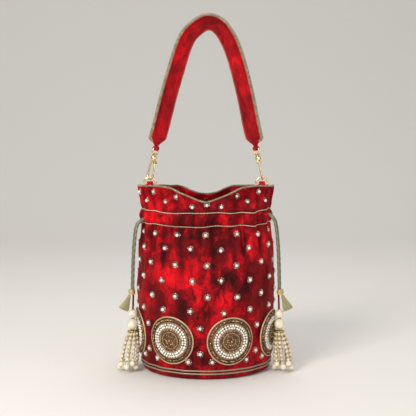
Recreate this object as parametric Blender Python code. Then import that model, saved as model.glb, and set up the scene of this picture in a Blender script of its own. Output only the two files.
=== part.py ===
# A round potli bag in red velvet, with a gathered mouth, a clipped-on strap and pearl tassels.
# Metres, +Z up, front towards -Y. The origin is on the ground under the middle of the bag.
import math

import bmesh
import bpy
from mathutils import Matrix, Vector

# The velvet bag
BAG_HEIGHT = 0.199
FRILL_HEIGHT = 0.024
CASING_WIDTH = 0.0144
BODY_HALF_WIDTH = 0.0750
BODY_HALF_DEPTH = 0.0690
BASE_HALF_WIDTH = 0.0700
BASE_HALF_DEPTH = 0.0670
BASE_CORNER = 0.0045
NECK_HALF_WIDTH = 0.0690
NECK_HALF_DEPTH = 0.0440
MOUTH_HALF_WIDTH = 0.0740
MOUTH_HALF_DEPTH = 0.0360
WALL = 0.0016
PLEATS = 16
PLEAT_DEPTH = 0.0022
FRILL_PLEAT_DEPTH = 0.0032
DIP_DEPTH = 0.0135
DIP_WIDTH = 0.026
COLUMNS = 64

# The lining and the board inside
LINING_WALL = 0.0010
LINING_TOP = 0.006
LINING_SLACK = 0.0012
BOARD_THICKNESS = 0.0025
LINING_COLUMNS = 36
GAP = 0.0003

# The medallions
MEDALLIONS = 7
MEDALLION_RADIUS = 0.0255
MEDALLION_HEIGHT = 0.0415
MEDALLION_GAP = 0.0007
MEDALLION_THICKNESS = 0.0020
MEDALLION_CROWN = 0.0026
MEDALLION_TURN = math.radians(21)
MEDALLION_SIDES = 18

# The drawcords
CORD_RADIUS = 0.0015
CORD_EXIT = math.radians(75)
CORD_SPACING = 0.0034
CORD_PITCH = 0.0058
SLIT_CLEARANCE = 0.0007

# The D rings, their tabs and the line that the strap swings on
RING_REACH = 0.061
RING_WIRE = 0.0010
RING_HALF_WIDTH = 0.0067
BAR_RISE = 0.0034
TAB_THICKNESS = 0.0022
TAB_HALF_WIDTH = 0.0058
TAB_TAIL = 0.0060
TAB_LOOP_HALF_WIDTH = 0.0037
TAB_LOOP_WALL = 0.0010
RUNNING_GAP = 0.0003

# The trigger hooks, measured up from the ring's crown
CLAW_WIRE = 0.00115
CLAW_HALF_WIDTH = 0.0050
CLAW_TIP = 0.0059
COLLAR_LOW = 0.0189
COLLAR_HIGH = 0.0235
COLLAR_RADIUS = 0.0034
PIN_RADIUS = 0.00115
PIN_HEAD = 0.0019
EYE_WIRE = 0.0011
EYE_HALF_WIDTH = 0.0046
EYE_HEIGHT = 0.0066
GATE_RADIUS = 0.0010
GATE_PIVOT = (0.0037, 0.0170)
RIVET_RADIUS = 0.00055
HOOK_LEAN = math.radians(12)
LEFT_HOOK_TURN = math.radians(35)

# The strap
STRAP_HALF_WIDTH = 0.0140
STRAP_HALF_THICKNESS = 0.0019
STRAP_TAPER = 0.010
STRAP_TURN = math.radians(36)
STRAP_LOOP_WALL = 0.0012
STRAP_STATIONS = 32

# The tassels
BINDING_RADIUS = 0.0038
BINDING_HEIGHT = 0.0052
SKIRT_HEIGHT = 0.0172
SKIRT_RADIUS = 0.0052
SKIRT_TOP = 0.0014
SKIRT_SHIFT = 0.0036
SKIRT_LEAN = math.radians(23)
HANGER_RADIUS = 0.0011
HANGER_LENGTH = 0.0155
SMALL_PEARL = 0.0048
LARGE_PEARL = 0.0062
BEAD_CAP_RADIUS = 0.0056
BEAD_CAP_HEIGHT = 0.0016
STRANDS = 6
STRAND_RING_TOP = 0.0045
STRAND_RING_FOOT = 0.0100
BEAD_RADIUS = 0.0020
BEAD_PITCH = 0.0046
THREAD_RADIUS = 0.0006
STRAND_CLEARANCE = 0.0016
TASSEL_GAP = 0.0008

casing_high = BAG_HEIGHT - FRILL_HEIGHT
casing_low = casing_high - CASING_WIDTH
casing_mid = (casing_high + casing_low) / 2
bar_height = BAG_HEIGHT + BAR_RISE
ring_crown = bar_height + RING_HALF_WIDTH
seam_half = WALL + TAB_THICKNESS / 2 + GAP


def material(name, color, roughness, metallic=0.0):
    made = bpy.data.materials.new(name)
    made.use_nodes = True
    shader = made.node_tree.nodes["Principled BSDF"]
    shader.inputs["Base Color"].default_value = (*color, 1.0)
    shader.inputs["Roughness"].default_value = roughness
    shader.inputs["Metallic"].default_value = metallic
    made.diffuse_color = (*color, 1.0)
    return made


def add_mesh(name, points, faces, finish, parent=None, smooth=True):
    mesh = bpy.data.meshes.new(name)
    mesh.from_pydata([tuple(p) for p in points], [], faces)
    work = bmesh.new()
    work.from_mesh(mesh)
    bmesh.ops.triangulate(work, faces=work.faces)
    bmesh.ops.recalc_face_normals(work, faces=work.faces)
    work.to_mesh(mesh)
    work.free()
    if smooth:
        mesh.shade_smooth()
        mesh.set_sharp_from_angle(angle=math.radians(50))
    if finish:
        mesh.materials.append(finish)
    made = bpy.data.objects.new(name, mesh)
    bpy.context.scene.collection.objects.link(made)
    made.parent = parent
    return made


def helper(made):
    made.hide_render = True
    made.display_type = "WIRE"
    return made


def boolean(target, other, operation):
    change = target.modifiers.new(operation.title(), "BOOLEAN")
    change.operation = operation
    change.solver = "EXACT"
    change.object = helper(other)


def empty(name, matrix, parent=None):
    made = bpy.data.objects.new(name, None)
    bpy.context.scene.collection.objects.link(made)
    made.parent = parent
    made.matrix_local = matrix
    return made


def joined_rings(rings, closed=False):
    # Faces between rings of equal length, one after the other, with an n-gon on each open end.
    size, count = len(rings[0]), len(rings)
    points = [p for ring in rings for p in ring]
    faces = []
    for i in range(count if closed else count - 1):
        low, high = i * size, (i + 1) % count * size
        for k in range(size):
            after = (k + 1) % size
            faces.append((low + k, low + after, high + after, high + k))
    if not closed:
        faces.append(tuple(range(size)))
        faces.append(tuple(range((count - 1) * size, count * size)))
    return points, faces


def lathe(profile, sides, closed=False):
    # Turns (radius, height) pairs round Z. A closed profile makes a ring.
    rings = []
    for radius, height in profile:
        turn = [2 * math.pi * k / sides for k in range(sides)]
        rings.append([Vector((radius * math.cos(t), radius * math.sin(t), height)) for t in turn])
    return joined_rings(rings, closed)


def smooth_route(route, count):
    # Evenly numbered points on a Catmull-Rom curve through the route's own points.
    points = [Vector(p) for p in route]
    ends = [2 * points[0] - points[1]] + points + [2 * points[-1] - points[-2]]
    found = []
    for i in range(count):
        at = i / (count - 1) * (len(points) - 1)
        k = min(int(at), len(points) - 2)
        t = at - k
        a, b, c, d = ends[k : k + 4]
        found.append(
            0.5 * (2 * b + (c - a) * t + (2 * a - 5 * b + 4 * c - d) * t**2 + (3 * b - a - 3 * c + d) * t**3)
        )
    return found


def tangents(path, closed=False):
    count = len(path)
    found = []
    for i in range(count):
        if closed:
            found.append((path[(i + 1) % count] - path[i - 1]).normalized())
        else:
            found.append((path[min(i + 1, count - 1)] - path[max(i - 1, 0)]).normalized())
    return found


def sweep(path, section, side, closed=False):
    # section(i) gives the outline at station i as (along side, across it) pairs.
    rings = []
    for i, (at, along) in enumerate(zip(path, tangents(path, closed))):
        wide = side(i) if callable(side) else side
        wide = (wide - along * wide.dot(along)).normalized()
        thick = along.cross(wide)
        rings.append([at + wide * a + thick * b for a, b in section(i)])
    return joined_rings(rings, closed)


def round_section(radius, sides=8):
    turn = [2 * math.pi * (k + 0.5) / sides for k in range(sides)]
    return [(radius * math.cos(t), radius * math.sin(t)) for t in turn]


def box_solid(low, high):
    corners = [
        [Vector((x, y, z)) for x, y in ((low[0], low[1]), (high[0], low[1]), (high[0], high[1]), (low[0], high[1]))]
        for z in (low[2], high[2])
    ]
    return joined_rings(corners)


def ease(value):
    value = min(max(value, 0.0), 1.0)
    return value * value * (3 - 2 * value)


def body_stations():
    # Height, half width, half depth and pleat depth of the velvet at each main level.
    return (
        (0.0, BASE_HALF_WIDTH - BASE_CORNER, BASE_HALF_DEPTH - BASE_CORNER, 0.0),
        (BASE_CORNER / 3, BASE_HALF_WIDTH - BASE_CORNER / 4, BASE_HALF_DEPTH - BASE_CORNER / 4, 0.0),
        (BASE_CORNER, BASE_HALF_WIDTH, BASE_HALF_DEPTH, 0.0),
        (casing_low * 0.30, BODY_HALF_WIDTH * 0.982, BODY_HALF_DEPTH, 0.0),
        (casing_low * 0.56, BODY_HALF_WIDTH, BODY_HALF_DEPTH, 0.0),
        (casing_low * 0.80, BODY_HALF_WIDTH * 0.977, BODY_HALF_DEPTH * 0.90, PLEAT_DEPTH * 0.3),
        (casing_low, NECK_HALF_WIDTH, NECK_HALF_DEPTH, PLEAT_DEPTH * 0.7),
        (casing_mid, NECK_HALF_WIDTH, NECK_HALF_DEPTH, PLEAT_DEPTH),
        (casing_high, NECK_HALF_WIDTH, NECK_HALF_DEPTH, PLEAT_DEPTH * 0.7),
        (BAG_HEIGHT, MOUTH_HALF_WIDTH, MOUTH_HALF_DEPTH, FRILL_PLEAT_DEPTH),
    )


def section_at(level):
    stations = body_stations()
    for low, high in zip(stations, stations[1:]):
        if level <= high[0]:
            part = (level - low[0]) / (high[0] - low[0])
            part = part if high[0] <= BASE_CORNER else ease(part) * 0.5 + part * 0.5
            return [a + (b - a) * part for a, b in zip(low[1:], high[1:])]
    return stations[-1][1:]


def velvet_point(angle, level, inset=0.0, pleated=True):
    # A point of the velvet. The angle runs from the front towards +X. Above the casing the mouth
    # is pinched flat at both corners, and its rim dips in the middle.
    wide, deep, pleat = section_at(level)
    side, front = math.sin(angle), math.cos(angle)
    x = (wide - inset) * side
    y = (deep - inset) * abs(front)
    rise = (level - casing_high) / FRILL_HEIGHT
    if rise > 0:
        flat = max(seam_half - inset, GAP)
        open_part = max(1 - abs(side) / 0.80, 0.0)
        pinched = min(abs(front) / 0.10, 1.0) * flat + (deep - seam_half) * ease(open_part * 1.35)
        y += (pinched - y) * ease(rise / 0.72)
    y = -math.copysign(y, front)
    if pleated:
        normal = Vector((side / wide, -front / deep, 0)).normalized()
        wave = pleat * math.cos(PLEATS * angle)
        if rise > 0:
            wave *= 1 - ease(rise / 0.45) * (1 - ease(3 * max(1 - abs(side) / 0.74, 0.0)))
        x += normal.x * wave
        y += normal.y * wave
    height = level
    if rise > 0:
        height -= rise * DIP_DEPTH * math.exp(-((x / DIP_WIDTH) ** 2))
    return Vector((x, y, height))


def wall_normal(angle, level):
    wide, deep, _ = section_at(level)
    return Vector((math.sin(angle) / wide, -math.cos(angle) / deep, 0)).normalized()


def ring_at(level, inset, columns, pleated=True):
    return [velvet_point(2 * math.pi * k / columns, level, inset, pleated) for k in range(columns)]


def make_shell(finish):
    body = [0.0, BASE_CORNER / 3, BASE_CORNER]
    body += [casing_low * part for part in (0.15, 0.30, 0.56, 0.80, 0.92)]
    casing = [casing_low, casing_mid, casing_high]
    frill = [casing_high + FRILL_HEIGHT * part for part in (0.3, 0.6, 1.0)]
    rings = [ring_at(level, 0.0, COLUMNS) for level in body + casing + frill]
    inner = [BAG_HEIGHT, frill[1], frill[0]] + casing[::-1] + [casing_low * part for part in (0.80, 0.40)]
    rings += [ring_at(level, WALL, COLUMNS) for level in inner]
    floor = ring_at(BASE_CORNER, WALL, COLUMNS)
    for point in floor:
        point.z = WALL
    points, faces = joined_rings(rings + [floor])
    shell = add_mesh("bag_shell", points, faces, finish)
    for hand, level in ((1, cord_level(1)), (-1, cord_level(-1))):
        angle = hand * CORD_EXIT
        middle = velvet_point(angle, level, pleated=False)
        outward = wall_normal(angle, level)
        along = Vector((-outward.y, outward.x, 0))
        high = CORD_RADIUS + SLIT_CLEARANCE
        wide = high + CORD_SPACING / 2
        outline = [(a * wide, b * high) for a, b in ((-1, -0.6), (-0.8, -1), (0.8, -1), (1, -0.6), (1, 0.6))]
        outline += [(a * wide, b * high) for a, b in ((0.8, 1), (-0.8, 1), (-1, 0.6))]
        path = [middle - outward * 3 * WALL, middle + outward * 3 * WALL]
        cutter = add_mesh(f"cord_slit_{side_name(hand)}", *sweep(path, lambda i: outline, along), None)
        boolean(shell, cutter, "DIFFERENCE")
    return shell


def lining_inset(level):
    room = 2 * CORD_RADIUS + GAP
    near = min(ease((level - casing_low) / 0.012 + 1), ease((casing_high - level) / 0.012 + 1))
    return WALL + section_at(level)[2] + room * near


def make_lining(finish):
    top = casing_high + LINING_TOP
    bottom = WALL + BOARD_THICKNESS + 2 * GAP
    levels = [bottom + LINING_WALL, casing_low * 0.40, casing_low * 0.85, casing_low, casing_high, top]
    outer = [ring_at(level, lining_inset(level) + LINING_SLACK, LINING_COLUMNS, False) for level in levels]
    inner = [ring_at(level, lining_inset(level) + LINING_SLACK + LINING_WALL, LINING_COLUMNS, False) for level in levels]
    foot = [Vector((p.x * 0.97, p.y * 0.97, bottom)) for p in outer[0]]
    points, faces = joined_rings([foot] + outer + inner[::-1])
    return add_mesh("lining", points, faces, finish)


def make_board(finish):
    low, high = WALL + GAP, WALL + GAP + BOARD_THICKNESS
    reach = [p * 0.985 for p in ring_at(BASE_CORNER, 2 * WALL, LINING_COLUMNS, False)]
    rings = [[Vector((p.x, p.y, height)) for p in reach] for height in (low, high)]
    return add_mesh("base_board", *joined_rings(rings), finish)


def make_medallion(index, finish):
    middle = MEDALLION_TURN + 2 * math.pi * index / MEDALLIONS
    wide, deep, _ = section_at(MEDALLION_HEIGHT)
    pace = math.hypot(wide * math.cos(middle), deep * math.sin(middle))

    def ring(radius, lift):
        found = []
        for k in range(MEDALLION_SIDES):
            turn = 2 * math.pi * k / MEDALLION_SIDES
            angle = middle + radius * math.cos(turn) / pace
            level = MEDALLION_HEIGHT + radius * math.sin(turn)
            found.append(velvet_point(angle, level, pleated=False) + wall_normal(angle, level) * lift)
        return found

    reach = MEDALLION_RADIUS
    rings = [ring(reach * part, MEDALLION_GAP) for part in (0.03, 0.5, 1.0)]
    rings += [ring(reach, MEDALLION_THICKNESS * 0.6), ring(reach * 0.96, MEDALLION_THICKNESS)]
    rings += [ring(reach * 0.5, MEDALLION_CROWN), ring(reach * 0.03, MEDALLION_CROWN)]
    return add_mesh(f"medallion_{index + 1}", *joined_rings(rings), finish)


def side_name(hand):
    return "right" if hand > 0 else "left"


def cord_level(hand):
    return casing_mid + hand * CORD_PITCH / 2


def cord_object(name, points, finish):
    curve = bpy.data.curves.new(name, "CURVE")
    curve.dimensions = "3D"
    curve.bevel_depth = CORD_RADIUS
    curve.bevel_resolution = 2
    curve.use_fill_caps = True
    spline = curve.splines.new("POLY")
    spline.points.add(len(points) - 1)
    for point, at in zip(spline.points, points):
        point.co = (*at, 1.0)
    curve.materials.append(finish)
    made = bpy.data.objects.new(name, curve)
    bpy.context.scene.collection.objects.link(made)
    return made


def cord_exit(hand, strand):
    # Where a strand's middle line meets the outer face of the velvet.
    angle, level = hand * CORD_EXIT, cord_level(hand)
    outward = wall_normal(angle, level)
    along = Vector((-outward.y, outward.x, 0))
    return velvet_point(angle, level, pleated=False) + along * strand * CORD_SPACING / 2, outward


def make_casing_cord(hand, finish):
    # The stretch inside the casing: out of the slit, once round the bag, and back to the slit.
    level = cord_level(hand)
    inset = WALL + PLEAT_DEPTH + GAP + CORD_RADIUS
    start, outward = cord_exit(hand, 1)
    finish_at, _ = cord_exit(hand, -1)
    turn = math.radians(13)
    middle = hand * CORD_EXIT
    count = 36
    arc = [
        velvet_point(middle + turn + (2 * math.pi - 2 * turn) * i / count, level, inset, False)
        for i in range(count + 1)
    ]
    route = [start - outward * 2 * GAP, start - outward * 2.2 * WALL] + arc
    route += [finish_at - outward * 2.2 * WALL, finish_at - outward * 2 * GAP]
    return cord_object(f"casing_cord_{side_name(hand)}", smooth_route(route, 44), finish)


# The right cord's free stretch in millimetres, from the velvet down to its binding.
CORD_ROUTE = (
    (70.2, -12.9, 168.6),
    (73.8, -14.3, 165.0),
    (76.0, -15.8, 157.5),
    (77.3, -17.4, 146.0),
    (78.3, -18.8, 132.0),
    (79.0, -19.6, 116.0),
    (79.4, -20.0, 101.0),
    (79.6, -20.2, 89.0),
)
CORD_FOOT = Vector((79.6, -20.2, 89.0)) / 1000


def make_free_cord(hand, strand, finish):
    start, outward = cord_exit(hand, strand)
    drop = cord_level(hand) - cord_level(1)
    route = [start + outward * GAP]
    for i, (x, y, z) in enumerate(CORD_ROUTE):
        fade = 1 - i / (len(CORD_ROUTE) - 1)
        at = Vector((hand * x, y, z + drop * 1000 * fade)) / 1000
        along = Vector((-outward.y, outward.x, 0))
        route.append(at + along * strand * CORD_SPACING / 2)
    which = "front" if strand * hand < 0 else "back"
    return cord_object(f"cord_{side_name(hand)}_{which}", smooth_route(route, 14), finish)


def make_tab(hand, finish):
    loop_inner = RING_WIRE + RUNNING_GAP
    loop_outer = loop_inner + TAB_LOOP_WALL
    tail_high = -loop_inner - TAB_LOOP_WALL * 0.4
    low = (-TAB_HALF_WIDTH, -TAB_THICKNESS / 2, -loop_outer - TAB_TAIL)
    high = (TAB_HALF_WIDTH, TAB_THICKNESS / 2, tail_high)
    place = Matrix.Translation((hand * RING_REACH, 0, bar_height))
    tab = add_mesh(f"tab_{side_name(hand)}", *box_solid(low, high), finish)
    tab.matrix_world = place
    half = TAB_LOOP_HALF_WIDTH
    profile = [(loop_inner, -half), (loop_outer, -half), (loop_outer, half), (loop_inner, half)]
    loop = add_mesh(f"tab_loop_{side_name(hand)}", *lathe(profile, 14, closed=True), None)
    loop.matrix_world = place @ Matrix.Rotation(math.pi / 2, 4, "Y")
    boolean(tab, loop, "UNION")
    return tab


def make_ring(hand, finish):
    # A D ring: a straight bar along X and a round arch over it.
    axis = empty(f"ring_axis_{side_name(hand)}", Matrix.Translation((hand * RING_REACH, 0, bar_height)))
    reach = RING_HALF_WIDTH
    arch = [Vector((reach * math.cos(t), 0, reach * math.sin(t))) for t in [math.pi * k / 10 for k in range(11)]]
    bar = [Vector((reach * part, 0, 0)) for part in (-0.8, 0.0, 0.8)]
    path = arch + bar
    outline = round_section(RING_WIRE)
    points, faces = sweep(path, lambda i: outline, Vector((0, 1, 0)), closed=True)
    return add_mesh(f"d_ring_{side_name(hand)}", points, faces, finish, axis)


def hook_matrix(hand, turn):
    # Local Z runs up the hook from the ring's crown, and local X across its claw.
    upward = Vector((-hand * math.sin(HOOK_LEAN), 0, math.cos(HOOK_LEAN)))
    across = Vector((0, -1, 0))
    across = Matrix.Rotation(turn, 3, upward) @ across
    deep = upward.cross(across)
    frame = Matrix((across, deep, upward)).transposed().to_4x4()
    return Matrix.Translation((hand * RING_REACH, 0, ring_crown)) @ frame


def make_claw(hand, finish, parent):
    side = side_name(hand)
    bottom = -(RING_WIRE + RUNNING_GAP + CLAW_WIRE)
    middle = bottom + CLAW_HALF_WIDTH
    wide = CLAW_HALF_WIDTH
    path = [Vector((-0.68 * wide, 0, COLLAR_LOW + CLAW_WIRE)), Vector((-0.72 * wide, 0, COLLAR_LOW - CLAW_WIRE))]
    path += [Vector((-0.9 * wide, 0, middle + 0.5 * (COLLAR_LOW - middle)))]
    turns = [math.pi + math.pi * k / 8 for k in range(9)]
    path += [Vector((wide * math.cos(t), 0, middle + wide * math.sin(t))) for t in turns]
    path += [Vector((wide, 0, CLAW_TIP))]
    outline = round_section(CLAW_WIRE)
    claw = add_mesh(f"claw_{side}", *sweep(path, lambda i: outline, Vector((0, 1, 0))), finish, parent)
    bore = PIN_RADIUS + RUNNING_GAP
    rim = 0.85 * COLLAR_RADIUS
    profile = [(bore, COLLAR_LOW), (COLLAR_RADIUS, COLLAR_LOW), (COLLAR_RADIUS, COLLAR_HIGH - 0.0012)]
    profile += [(rim, COLLAR_HIGH), (bore, COLLAR_HIGH)]
    collar = add_mesh(f"collar_{side}", *lathe(profile, 16, closed=True), None, parent)
    boolean(claw, collar, "UNION")
    for cheek in (-1, 1):
        inner, outer = cheek * (GATE_RADIUS + RUNNING_GAP), cheek * (GATE_RADIUS + RUNNING_GAP + 0.0009)
        low = (GATE_PIVOT[0] - 0.0013, min(inner, outer), GATE_PIVOT[1] - 0.0014)
        high = (GATE_PIVOT[0] + 0.0013, max(inner, outer), COLLAR_LOW + 0.0012)
        plate = add_mesh(f"cheek_{side}_{'front' if cheek < 0 else 'back'}", *box_solid(low, high), None, parent)
        boolean(claw, plate, "UNION")
    drill = round_drill(f"rivet_hole_{side}", RIVET_RADIUS + 0.0002, 0.006, parent)
    boolean(claw, drill, "DIFFERENCE")
    return claw


def round_drill(name, radius, length, parent):
    made = add_mesh(name, *lathe([(radius, -length / 2), (radius, length / 2)], 12), None, parent)
    made.matrix_local = Matrix.Translation((GATE_PIVOT[0], 0, GATE_PIVOT[1])) @ Matrix.Rotation(math.pi / 2, 4, "X")
    return made


def make_gate(hand, finish, parent):
    side = side_name(hand)
    axis = empty(f"gate_axis_{side}", Matrix.Translation((GATE_PIVOT[0], 0, GATE_PIVOT[1])), parent)
    foot = Vector((CLAW_HALF_WIDTH - GATE_PIVOT[0], 0, CLAW_TIP + RUNNING_GAP + 0.0001 - GATE_PIVOT[1]))
    path = [Vector((0, 0, -0.0009)), foot * 0.35 + Vector((0.0003, 0, 0)), foot * 0.7 + Vector((0.0003, 0, 0)), foot]
    outline = round_section(GATE_RADIUS)
    gate = add_mesh(f"gate_{side}", *sweep(path, lambda i: outline, Vector((0, 1, 0))), finish, axis)
    hole = RIVET_RADIUS + 0.0002
    profile = [(hole, -GATE_RADIUS), (0.0014, -GATE_RADIUS), (0.0014, GATE_RADIUS), (hole, GATE_RADIUS)]
    knuckle = add_mesh(f"knuckle_{side}", *lathe(profile, 12, closed=True), None, axis)
    knuckle.matrix_local = Matrix.Rotation(math.pi / 2, 4, "X")
    boolean(gate, knuckle, "UNION")
    half = GATE_RADIUS + RUNNING_GAP + 0.0009 + 0.0002
    profile = [(0.0009, -half - 0.0005), (0.0009, -half), (RIVET_RADIUS, -half), (RIVET_RADIUS, half)]
    profile += [(0.0009, half), (0.0009, half + 0.0005)]
    rivet = add_mesh(f"gate_rivet_{side}", *lathe(profile, 8), finish, parent)
    rivet.matrix_local = Matrix.Translation((GATE_PIVOT[0], 0, GATE_PIVOT[1])) @ Matrix.Rotation(math.pi / 2, 4, "X")
    return gate


def eye_bar_height():
    return COLLAR_HIGH + 0.0019 + EYE_HEIGHT


def make_eye(hand, finish, parent):
    # A swivel eye: a rounded frame for the strap, on a headed pin that turns in the collar.
    low = COLLAR_HIGH + 0.0019
    high = eye_bar_height()
    wide = EYE_HALF_WIDTH
    corner = 0.0014
    path = []
    for x, z, start in ((wide, high, 0), (-wide, high, 90), (-wide, low, 180), (wide, low, 270)):
        middle = Vector((x - math.copysign(corner, x), 0, z - (corner if z == high else -corner)))
        for step in (0, 45, 90):
            t = math.radians(start + step)
            path.append(middle + Vector((corner * math.cos(t), 0, corner * math.sin(t))))
    outline = round_section(EYE_WIRE)
    eye = add_mesh(f"swivel_eye_{side_name(hand)}", *sweep(path, lambda i: outline, Vector((0, 1, 0)), True), finish, parent)
    head_low, head_high = COLLAR_LOW - 0.0017, COLLAR_LOW - RUNNING_GAP
    profile = [(PIN_HEAD * 0.8, head_low), (PIN_HEAD, head_high - 0.0006), (PIN_HEAD, head_high)]
    profile += [(PIN_RADIUS, head_high), (PIN_RADIUS, COLLAR_HIGH + RUNNING_GAP)]
    profile += [(0.0022, COLLAR_HIGH + RUNNING_GAP), (0.0020, low + 0.0003)]
    pin = add_mesh(f"swivel_pin_{side_name(hand)}", *lathe(profile, 12), None, parent)
    boolean(eye, pin, "UNION")
    return eye


# The strap's middle line in millimetres, between its end loops, seen from the front.
STRAP_ROUTE = (
    (-49.0, 262.0),
    (-40.5, 295.0),
    (-31.0, 328.0),
    (-20.5, 358.0),
    (-8.0, 371.5),
    (3.0, 376.0),
    (14.5, 371.0),
    (25.5, 354.0),
    (34.5, 328.0),
    (42.0, 298.0),
    (49.0, 264.0),
)


def strap_side(path, i):
    # The strap's width direction: its front edge leans outwards, so that its inner face shows.
    along = tangents(path)[i]
    outward = Vector((-along.z, 0, along.x))
    return Vector((0, -1, 0)) * math.cos(STRAP_TURN) + outward * math.sin(STRAP_TURN)


def make_strap(finish):
    axis = empty("strap_axis", Matrix.Translation((0, 0, bar_height)))
    ends = [hook_matrix(hand, 0) @ Vector((0, 0, eye_bar_height())) for hand in (-1, 1)]
    leans = [(hook_matrix(hand, 0).to_3x3() @ Vector((0, 0, 1))) for hand in (-1, 1)]
    clear = EYE_WIRE + RUNNING_GAP
    starts = [end + lean * (clear + STRAP_LOOP_WALL * 0.6) for end, lean in zip(ends, leans)]
    nears = [end + lean * (clear + STRAP_TAPER) for end, lean in zip(ends, leans)]
    middle = [Vector((x / 1000, 0, z / 1000)) for x, z in STRAP_ROUTE]
    path = smooth_route([starts[0], nears[0]] + middle + [nears[1], starts[1]], STRAP_STATIONS)
    count = len(path)
    lengths = [0.0]
    for a, b in zip(path, path[1:]):
        lengths.append(lengths[-1] + (b - a).length)
    tongue = EYE_HALF_WIDTH - EYE_WIRE - RUNNING_GAP

    def section(i):
        from_end = min(lengths[i], lengths[-1] - lengths[i])
        full = ease(from_end / STRAP_TAPER)
        half = tongue + (STRAP_HALF_WIDTH - tongue) * full
        thin = STRAP_LOOP_WALL + (STRAP_HALF_THICKNESS - STRAP_LOOP_WALL) * full
        outline = ((1, 0), (0.86, 1), (0, 1.05), (-0.86, 1), (-1, 0), (-0.86, -1), (0, -1.05), (0.86, -1))
        return [(a * half, b * thin) for a, b in outline]

    offset = Vector((0, 0, bar_height))
    points, faces = sweep(path, section, lambda i: strap_side(path, i))
    strap = add_mesh("strap", [p - offset for p in points], faces, finish, axis)
    for hand, end, i in ((-1, ends[0], 0), (1, ends[1], count - 1)):
        wide = strap_side(path, i)
        along = tangents(path)[i]
        frame = Matrix((along.cross(wide), along, wide)).transposed().to_4x4()
        outer = clear + STRAP_LOOP_WALL
        profile = [(clear, -tongue), (outer, -tongue), (outer, tongue), (clear, tongue)]
        loop = add_mesh(f"strap_loop_{side_name(hand)}", *lathe(profile, 14, closed=True), None)
        loop.matrix_world = Matrix.Translation(end) @ frame
        boolean(strap, loop, "UNION")
    return axis


def make_hook(hand, finish, strap_axis):
    turn = hand_turn(hand)
    below = Matrix.Translation((0, 0, -bar_height))
    swivel = empty(f"hook_axis_{side_name(hand)}", below @ hook_matrix(hand, turn), strap_axis)
    make_claw(hand, finish, swivel)
    make_gate(hand, finish, swivel)
    # The eye stays square to the strap's width, whichever way the claw is turned.
    eye_frame = below @ hook_matrix(hand, STRAP_TURN * hand)
    frame = empty(f"eye_frame_{side_name(hand)}", eye_frame, strap_axis)
    make_eye(hand, finish, frame)


def hand_turn(hand):
    return 0.0 if hand > 0 else LEFT_HOOK_TURN


def make_tassel(hand, finishes):
    side = side_name(hand)
    foot = Vector((hand * CORD_FOOT.x, CORD_FOOT.y, CORD_FOOT.z))
    bind_high = foot.z - GAP
    bind_low = bind_high - BINDING_HEIGHT
    bulge = BINDING_RADIUS * 0.82
    profile = [(bulge, 0), (BINDING_RADIUS, 0.001), (BINDING_RADIUS, BINDING_HEIGHT - 0.001), (bulge, BINDING_HEIGHT)]
    binding = add_mesh(f"cord_binding_{side}", *lathe(profile, 12), finishes["gold"])
    binding.location = (foot.x + hand * 0.0008, foot.y, bind_low)

    pivot = Vector((foot.x - hand * 0.0008, foot.y, bind_low - TASSEL_GAP))
    axis = empty(f"tassel_axis_{side}", Matrix.Translation(pivot))
    skirt_top = Vector((hand * (SKIRT_SHIFT + 0.0002), 0, 0))
    tall = SKIRT_HEIGHT
    profile = [(SKIRT_RADIUS, -tall), (SKIRT_RADIUS * 0.86, -0.75 * tall), (SKIRT_RADIUS * 0.5, -0.35 * tall)]
    profile += [(SKIRT_TOP, -0.06 * tall), (SKIRT_TOP * 0.8, -0.0003)]
    skirt = add_mesh(f"tassel_skirt_{side}", *lathe(profile, 14), finishes["thread"], axis)
    skirt.matrix_local = Matrix.Translation(skirt_top) @ Matrix.Rotation(-hand * SKIRT_LEAN, 4, "Y")

    lean = Vector((hand * 0.030, -0.012, -1)).normalized()
    hanger_path = [lean * HANGER_LENGTH * part for part in (0.0, 0.33, 0.66, 1.0)]
    outline = round_section(HANGER_RADIUS, 6)
    made = sweep(hanger_path, lambda i: outline, Vector((0, 1, 0)))
    add_mesh(f"pearl_hanger_{side}", *made, finishes["velvet"], axis)
    small_at = lean * (HANGER_LENGTH + GAP + SMALL_PEARL)
    large_at = small_at + lean * (SMALL_PEARL + GAP + LARGE_PEARL)
    for name, at, radius in (("small", small_at, SMALL_PEARL), ("large", large_at, LARGE_PEARL)):
        arc = [math.radians(a) for a in (-80, -50, -17, 17, 50, 80)]
        profile = [(radius * math.cos(a), radius * math.sin(a) / math.sin(arc[-1])) for a in arc]
        pearl = add_mesh(f"pearl_{name}_{side}", *lathe(profile, 12), finishes["pearl"], axis)
        pearl.location = at
    cap_top = large_at + Vector((0, 0, -LARGE_PEARL - GAP))
    profile = [(BEAD_CAP_RADIUS, -BEAD_CAP_HEIGHT), (BEAD_CAP_RADIUS * 0.55, 0)]
    cap = add_mesh(f"bead_cap_{side}", *lathe(profile, 14), finishes["gold"], axis)
    cap.location = cap_top
    strand_top = cap_top + Vector((0, 0, -BEAD_CAP_HEIGHT - GAP))
    foot_shift = Vector((hand * 0.0045, -0.006, 0))
    for index in range(STRANDS):
        make_strand(hand, index, pivot, strand_top, foot_shift, finishes["pearl"], axis)


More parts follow.
